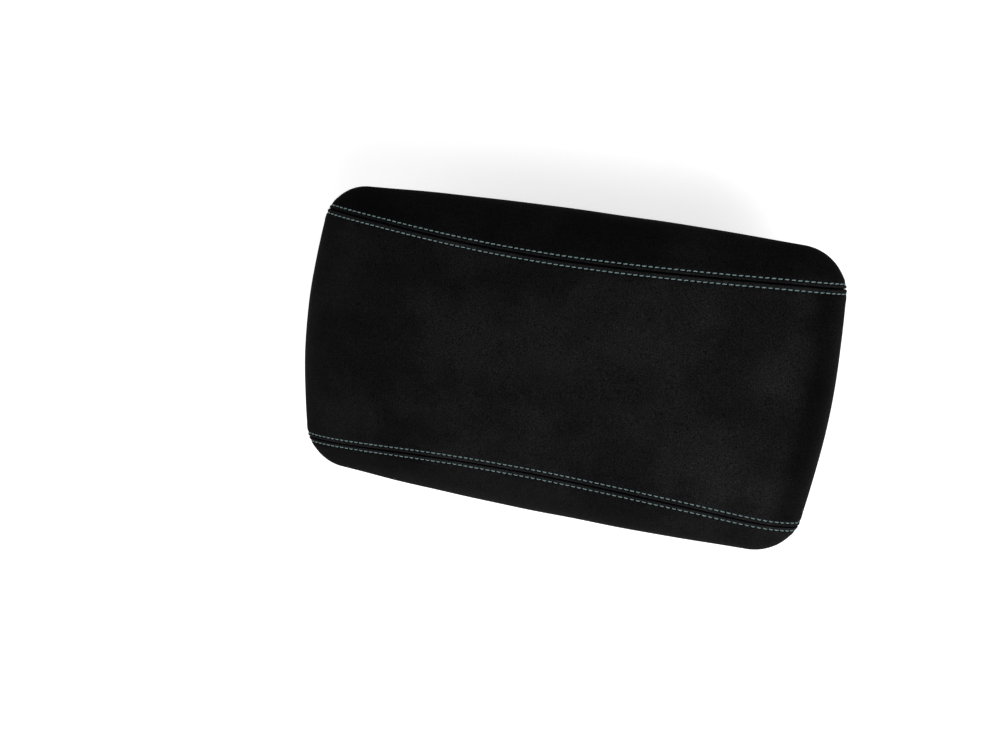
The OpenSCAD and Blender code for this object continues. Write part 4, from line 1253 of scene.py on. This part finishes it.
def stitch_row(surface, off, start, flip):
    """The path of one row of stitches at a distance from the seam, and its normals."""
    seams = surface.seams
    line, out = surface.seam_line(off)
    run = path_length(line)
    begin = start * run[-1] / surface.run[-1]
    keep = (run > begin) & (run < run[-1] - begin * ROW_END)

    def kept(values):
        first = [[np.interp(begin, run, values[:, axis]) for axis in range(3)]]
        return np.concatenate([np.array(first), values[keep]])

    line, out = kept(line), kept(out)
    lift = seams.thread_radius * THREAD_UP - seams.dent * DENT_UNDER + surface.unevenness(line)
    return (line + out * lift[:, None]) * flip + PAD_ORIGIN, out * flip


class ARMREST_OT_topstitching(Operator):
    """Sews the two rows of stitches beside each seam"""

    bl_idname = "armrest.topstitching"
    bl_label = "Topstitching"

    def execute(self, context):
        surface = PadSurface()
        seams = surface.seams
        start = surface.first_stitch()
        for side, name, node in (
            (1, "right_seam_stitches", "topstitching_right"),
            (-1, "left_seam_stitches", "topstitching_left"),
        ):
            flip = np.array([side, 1.0, 1.0])
            rows = [stitch_row(surface, off, start, flip) for off in (-seams.gauge / 2, seams.gauge / 2)]
            values = {
                "Pitch": seams.pitch,
                "Stitch length": seams.stitch,
                "Thread radius": seams.thread_radius,
                "Slant": seams.slant * side,
                "Seed": seams.seed + (side > 0),
                "Material": thread_material(),
            }
            piece = grown(name, [line for line, _ in rows], [out for _, out in rows], stitch_tree(), values)
            put_on(piece, "lid", [node])
        return {"FINISHED"}


def coil_points(x1, centre, radius, pitch, start, turns, steps):
    """Points of a coil round an X axis, clockwise seen from +X."""
    y, z = centre
    points = []
    for i in range(int(turns * steps) + 1):
        angle = math.radians(start) - 2 * math.pi * i / steps
        points.append((x1 + pitch * i / steps, y + radius * math.cos(angle), z + radius * math.sin(angle)))
    return points


def rounded_path(points, cuts):
    """Rounds the corners of a polyline by cutting them."""
    pts = [np.array(p, dtype=float) for p in points]
    for _ in range(cuts):
        fresh = [pts[0]]
        for a, b in zip(pts[:-1], pts[1:]):
            fresh.append(a * 0.75 + b * 0.25)
            fresh.append(a * 0.25 + b * 0.75)
        fresh.append(pts[-1])
        pts = fresh
    return np.array(pts)


def wound_between(spring, node):
    """Bakes a torsion spring's place into its mesh and hides the frame's own spring."""
    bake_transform(spring)
    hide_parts(node)


def torsion_spring(name, node, axis, radius, coil, lead, tail):
    """Makes one spring from its first leg, its coil and its second leg, all in millimetres.

    radius is the wire's, in metres. coil is the coil's first X, second X, radius, pitch, first angle,
    turns and steps in a turn."""
    x1, x2, *winding = coil
    points = np.array(coil_points(x1, axis, *winding))
    path = np.concatenate([rounded_path(lead, 2)[:-1], points[1:-1], rounded_path(tail, 3)]) * MM + PAD_ORIGIN
    values = {"Wire radius": radius, "Material": spring_material()}
    spring = grown(name, [path], None, wire_tree(), values)
    wound_between(spring, node)


class ARMREST_OT_springs(Operator):
    """Winds the hinge spring and the latch spring"""

    bl_idname = "armrest.springs"
    bl_label = "Springs"

    def hinge(self, radius):
        y, z = HINGE_AXIS
        wire = radius * METRE
        coil_r, turns = HINGE_COIL
        pitch = 2 * wire + HINGE_TURN_GAP
        x1 = -turns * pitch / 2
        x2 = -x1 + 0.1
        front = BASE_Y - BASE_THICKNESS - wire - LEG_GAP
        low = z - coil_r
        lead = (
            (x1 - 0.2, LEAF_FRONT + 16, PLATE_LOW - wire - LEG_GAP),
            (x1 - 0.1, y - 3, z + coil_r + 0.15),
            (x1, y, z + coil_r),
        )
        tail = (
            (x2 - 0.1, y, low),
            (x2, BASE_Y, low - 0.1),
            (x2, front + 0.8, low - 0.8),
            (x2, front, low - 2.6),
            (x2, front, BASE_TOP - 14),
        )
        coil = (x1, x2, coil_r, pitch, 90, turns, 40)
        torsion_spring(
            "hinge_torsion_spring", "hinge_spring", HINGE_AXIS, radius, coil, lead, tail
        )

    def latch(self, radius):
        y, z = LATCH_AXIS
        wire = radius * METRE
        coil_r, turns = LATCH_COIL
        pitch = 2 * wire + LATCH_TURN_GAP
        x1 = LATCH_MIDDLE - turns * pitch / 2
        x2 = x1 + turns * pitch + 0.1
        rest = PLATE_LOW - wire - LEG_GAP
        on_plate = z - PADDLE_DROP + PADDLE_THICKNESS + wire + LEG_GAP
        lead = (
            (x1 - 0.1, y - 15, on_plate),
            (x1 - 0.1, y - 5, on_plate),
            (x1 - 0.05, y - coil_r - 0.2, z - 0.6),
            (x1, y - coil_r, z),
        )
        tail = (
            (x2 - 0.1, y + coil_r, z),
            (x2, y + coil_r + 0.3, z - 1.5),
            (x2, y + coil_r + 2, z - 1),
            (x2, y + coil_r + 5, rest - 0.6),
            (x2, y + coil_r + 8, rest),
        )
        coil = (x1, x2, coil_r, pitch, 180, turns, 32)
        torsion_spring(
            "latch_torsion_spring", "latch_spring", LATCH_AXIS, radius, coil, lead, tail
        )

    def execute(self, context):
        sizes = context.scene.armrest_springs
        self.hinge(sizes.hinge_wire)
        self.latch(sizes.latch_wire)
        return {"FINISHED"}


def dress(names, material):
    """Gives solids of the frame a finish on every material slot."""
    for name in names:
        node = frame["nodes"][name]
        for piece in [node, *node.children_recursive]:
            if piece.type != "MESH":
                continue
            if not piece.material_slots:
                piece.data.materials.append(material)
            for slot in piece.material_slots:
                slot.material = material


class ARMREST_OT_mouldings(Operator):
    """Finishes the carrier, the liner, the latch housing, the paddle, the bushes and the bump stops"""

    bl_idname = "armrest.mouldings"
    bl_label = "Mouldings"

    def execute(self, context):
        for name, tone, scale, roughness, nodes in (
            ("Grained moulding", "moulding", 900.0, 0.58, ("carrier_shell", "inner_liner", "latch_housing")),
            ("Satin paddle", "paddle", 1500.0, 0.38, ("latch_paddle",)),
            ("Bearing plastic", "bush", 1600.0, 0.42, ("hinge_bush_right", "hinge_bush_left")),
            ("Soft rubber", "rubber", 1200.0, 0.8, ("bump_stops",)),
        ):
            dress(nodes, grained_material(name, tone, scale, roughness))
        return {"FINISHED"}


class ARMREST_OT_metalwork(Operator):
    """Finishes the hinge pressings, pins, clip and screws"""

    bl_idname = "armrest.metalwork"
    bl_label = "Metalwork"

    def execute(self, context):
        even = (4.0, 4.0, 4.0)
        coated = metal_material("Black coated steel", "coated_steel", even, 0.45, coated=True)
        zinc = metal_material("Zinc plated steel", "zinc", even, 0.36)
        bright = metal_material("Ground steel", "bright_steel", (0.6, 14.0, 14.0), 0.24)
        dress(["hinge_lid_leaf", "hinge_base"], coated)
        dress(["liner_screws", "hinge_leaf_screws", "latch_screws"], zinc)
        dress(["hinge_pin", "latch_pin"], bright)
        dress(["hinge_pin_clip"], spring_material())
        return {"FINISHED"}


def background_rays(tree):
    """1 for the rays that show the background: the camera's, and those that metal or glass sends on."""
    seen = tree.nodes.new("ShaderNodeLightPath")
    share = seen.outputs["Is Camera Ray"]
    for name in ("Is Glossy Ray", "Is Transmission Ray"):
        share = combine(tree, "MAXIMUM", share, seen.outputs[name])
    return share


def backdrop_material(tone):
    """A pale floor that the camera sees as white and that still keeps a soft shadow."""
    material = bpy.data.materials.new("Pale floor")
    material.use_nodes = True
    tree = material.node_tree
    surface = tree.nodes["Principled BSDF"]
    for socket, value in (("Base Color", opaque(tone)), ("Roughness", 0.9), ("Specular IOR Level", 0.1)):
        surface.inputs[socket].default_value = value
    where = add(tree, "ShaderNodeTexCoord").outputs["Object"]
    away = add(tree, "ShaderNodeVectorMath", {0: where}, operation="LENGTH").outputs["Value"]
    far = ramp(tree, away, *FLOOR_GLOW)
    strength = combine(tree, "MULTIPLY", background_rays(tree), far)
    glow = add(tree, "ShaderNodeEmission", {"Color": WHITE, "Strength": strength})
    both = add(tree, "ShaderNodeAddShader", {0: surface.outputs[0], 1: glow.outputs[0]})
    fill(tree, tree.nodes["Material Output"].inputs["Surface"], both.outputs[0])
    return material


def set_floor(stage):
    """A wide plain floor below the armrest."""
    mesh = bpy.data.meshes.new("floor")
    level = min(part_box("hinge_base")[0][2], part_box("latch_paddle")[0][2]) - stage.floor_drop
    half = FLOOR_HALF
    corners = [(-half, -half, level), (half, -half, level), (half, half, level), (-half, half, level)]
    mesh.from_pydata(corners, [], [(0, 1, 2, 3)])
    mesh.materials.append(backdrop_material(stage.floor_colour))
    linked(bpy.data.objects.new("floor", mesh))


def set_lamp(stage, name, bearing, elevation):
    """A square lamp at one distance from the pad, aimed at it, with its power from the settings."""
    out = math.cos(math.radians(elevation)) * stage.reach
    at = Vector((math.cos(math.radians(bearing)) * out, math.sin(math.radians(bearing)) * out, 0.0))
    up = math.sin(math.radians(elevation)) * stage.reach + PAD_ORIGIN[2]
    at += Vector((PAD_ORIGIN[0], PAD_ORIGIN[1], up))
    lamp = bpy.data.lights.new(name + " lamp", "AREA")
    lamp.energy = getattr(stage, name)
    lamp.size = LAMP_WIDTH
    holder = linked(bpy.data.objects.new(lamp.name, lamp))
    holder.location = at
    holder.rotation_mode = "QUATERNION"
    holder.rotation_quaternion = (Vector(PAD_ORIGIN) - at).to_track_quat("-Z", "Y")


def set_camera(stage):
    """The camera that sees the pad as the photograph does."""
    lens = bpy.data.cameras.new("photo camera")
    lens.lens = stage.focal
    lens.sensor_width = SENSOR_WIDTH
    lens.clip_start = NEAR_CLIP
    camera = linked(bpy.data.objects.new("photo camera", lens))
    right = Vector(CAMERA_RIGHT)
    ahead = Vector(CAMERA_AHEAD).normalized()
    right = (right - ahead * right.dot(ahead)).normalized()
    turned = Matrix((right, right.cross(ahead), -ahead)).transposed()
    camera.matrix_world = Matrix.Translation(CAMERA_AT) @ turned.to_4x4()
    return camera


class ARMREST_OT_stage(Operator):
    """Sets the floor, the lamps, the even sky and the camera"""

    bl_idname = "armrest.stage"
    bl_label = "Stage"

    def execute(self, context):
        scene = context.scene
        stage = scene.armrest_stage
        set_floor(stage)
        for name, bearing, elevation in LAMPS:
            set_lamp(stage, name, bearing, elevation)
        world = bpy.data.worlds.new("Even sky")
        scene.world = world
        world.use_nodes = True
        tree = world.node_tree
        sky = tree.nodes["Background"]
        sky.inputs["Color"].default_value = WHITE
        fill(tree, sky.inputs["Strength"], ramp(tree, background_rays(tree), stage.sky, 1.0))
        scene.camera = set_camera(stage)
        scene.view_settings.view_transform = "Standard"
        return {"FINISHED"}


OPERATORS = (
    ARMREST_OT_suede_cover,
    ARMREST_OT_topstitching,
    ARMREST_OT_foam,
    ARMREST_OT_springs,
    ARMREST_OT_mouldings,
    ARMREST_OT_metalwork,
    ARMREST_OT_stage,
)
GROUPS = (
    ("armrest_pad", PadSizes),
    ("armrest_seams", SeamSizes),
    ("armrest_nap", PaintedLightSettings),
    ("armrest_springs", SpringSizes),
    ("armrest_finishes", Finishes),
    ("armrest_stage", StageSettings),
)


class ARMREST_PT_sidebar(Panel):
    """Lists the armrest's pieces in the sidebar"""

    bl_idname = "ARMREST_PT_sidebar"
    bl_label = "Armrest"
    bl_space_type = "VIEW_3D"
    bl_region_type = "UI"
    bl_category = "Armrest"

    def draw(self, context):
        layout = self.layout
        for operator in OPERATORS:
            layout.operator(operator.bl_idname, text=operator.bl_label)
        for attribute, group in GROUPS:
            box = layout.box()
            box.label(text=group.__doc__)
            settings = getattr(context.scene, attribute)
            for name in group.__annotations__:
                box.prop(settings, name)


def register():
    for attribute, group in GROUPS:
        bpy.utils.register_class(group)
        setattr(bpy.types.Scene, attribute, PointerProperty(type=group))
    for operator in OPERATORS:
        bpy.utils.register_class(operator)
    bpy.utils.register_class(ARMREST_PT_sidebar)


def unregister():
    bpy.utils.unregister_class(ARMREST_PT_sidebar)
    for operator in reversed(OPERATORS):
        bpy.utils.unregister_class(operator)
    for attribute, group in reversed(GROUPS):
        delattr(bpy.types.Scene, attribute)
        bpy.utils.unregister_class(group)


def main():
    register()
    bpy.ops.armrest.suede_cover()
    bpy.ops.armrest.topstitching()
    bpy.ops.armrest.foam()
    bpy.ops.armrest.springs()
    bpy.ops.armrest.mouldings()
    bpy.ops.armrest.metalwork()
    bpy.ops.armrest.stage()


if __name__ == "__main__":
    main()
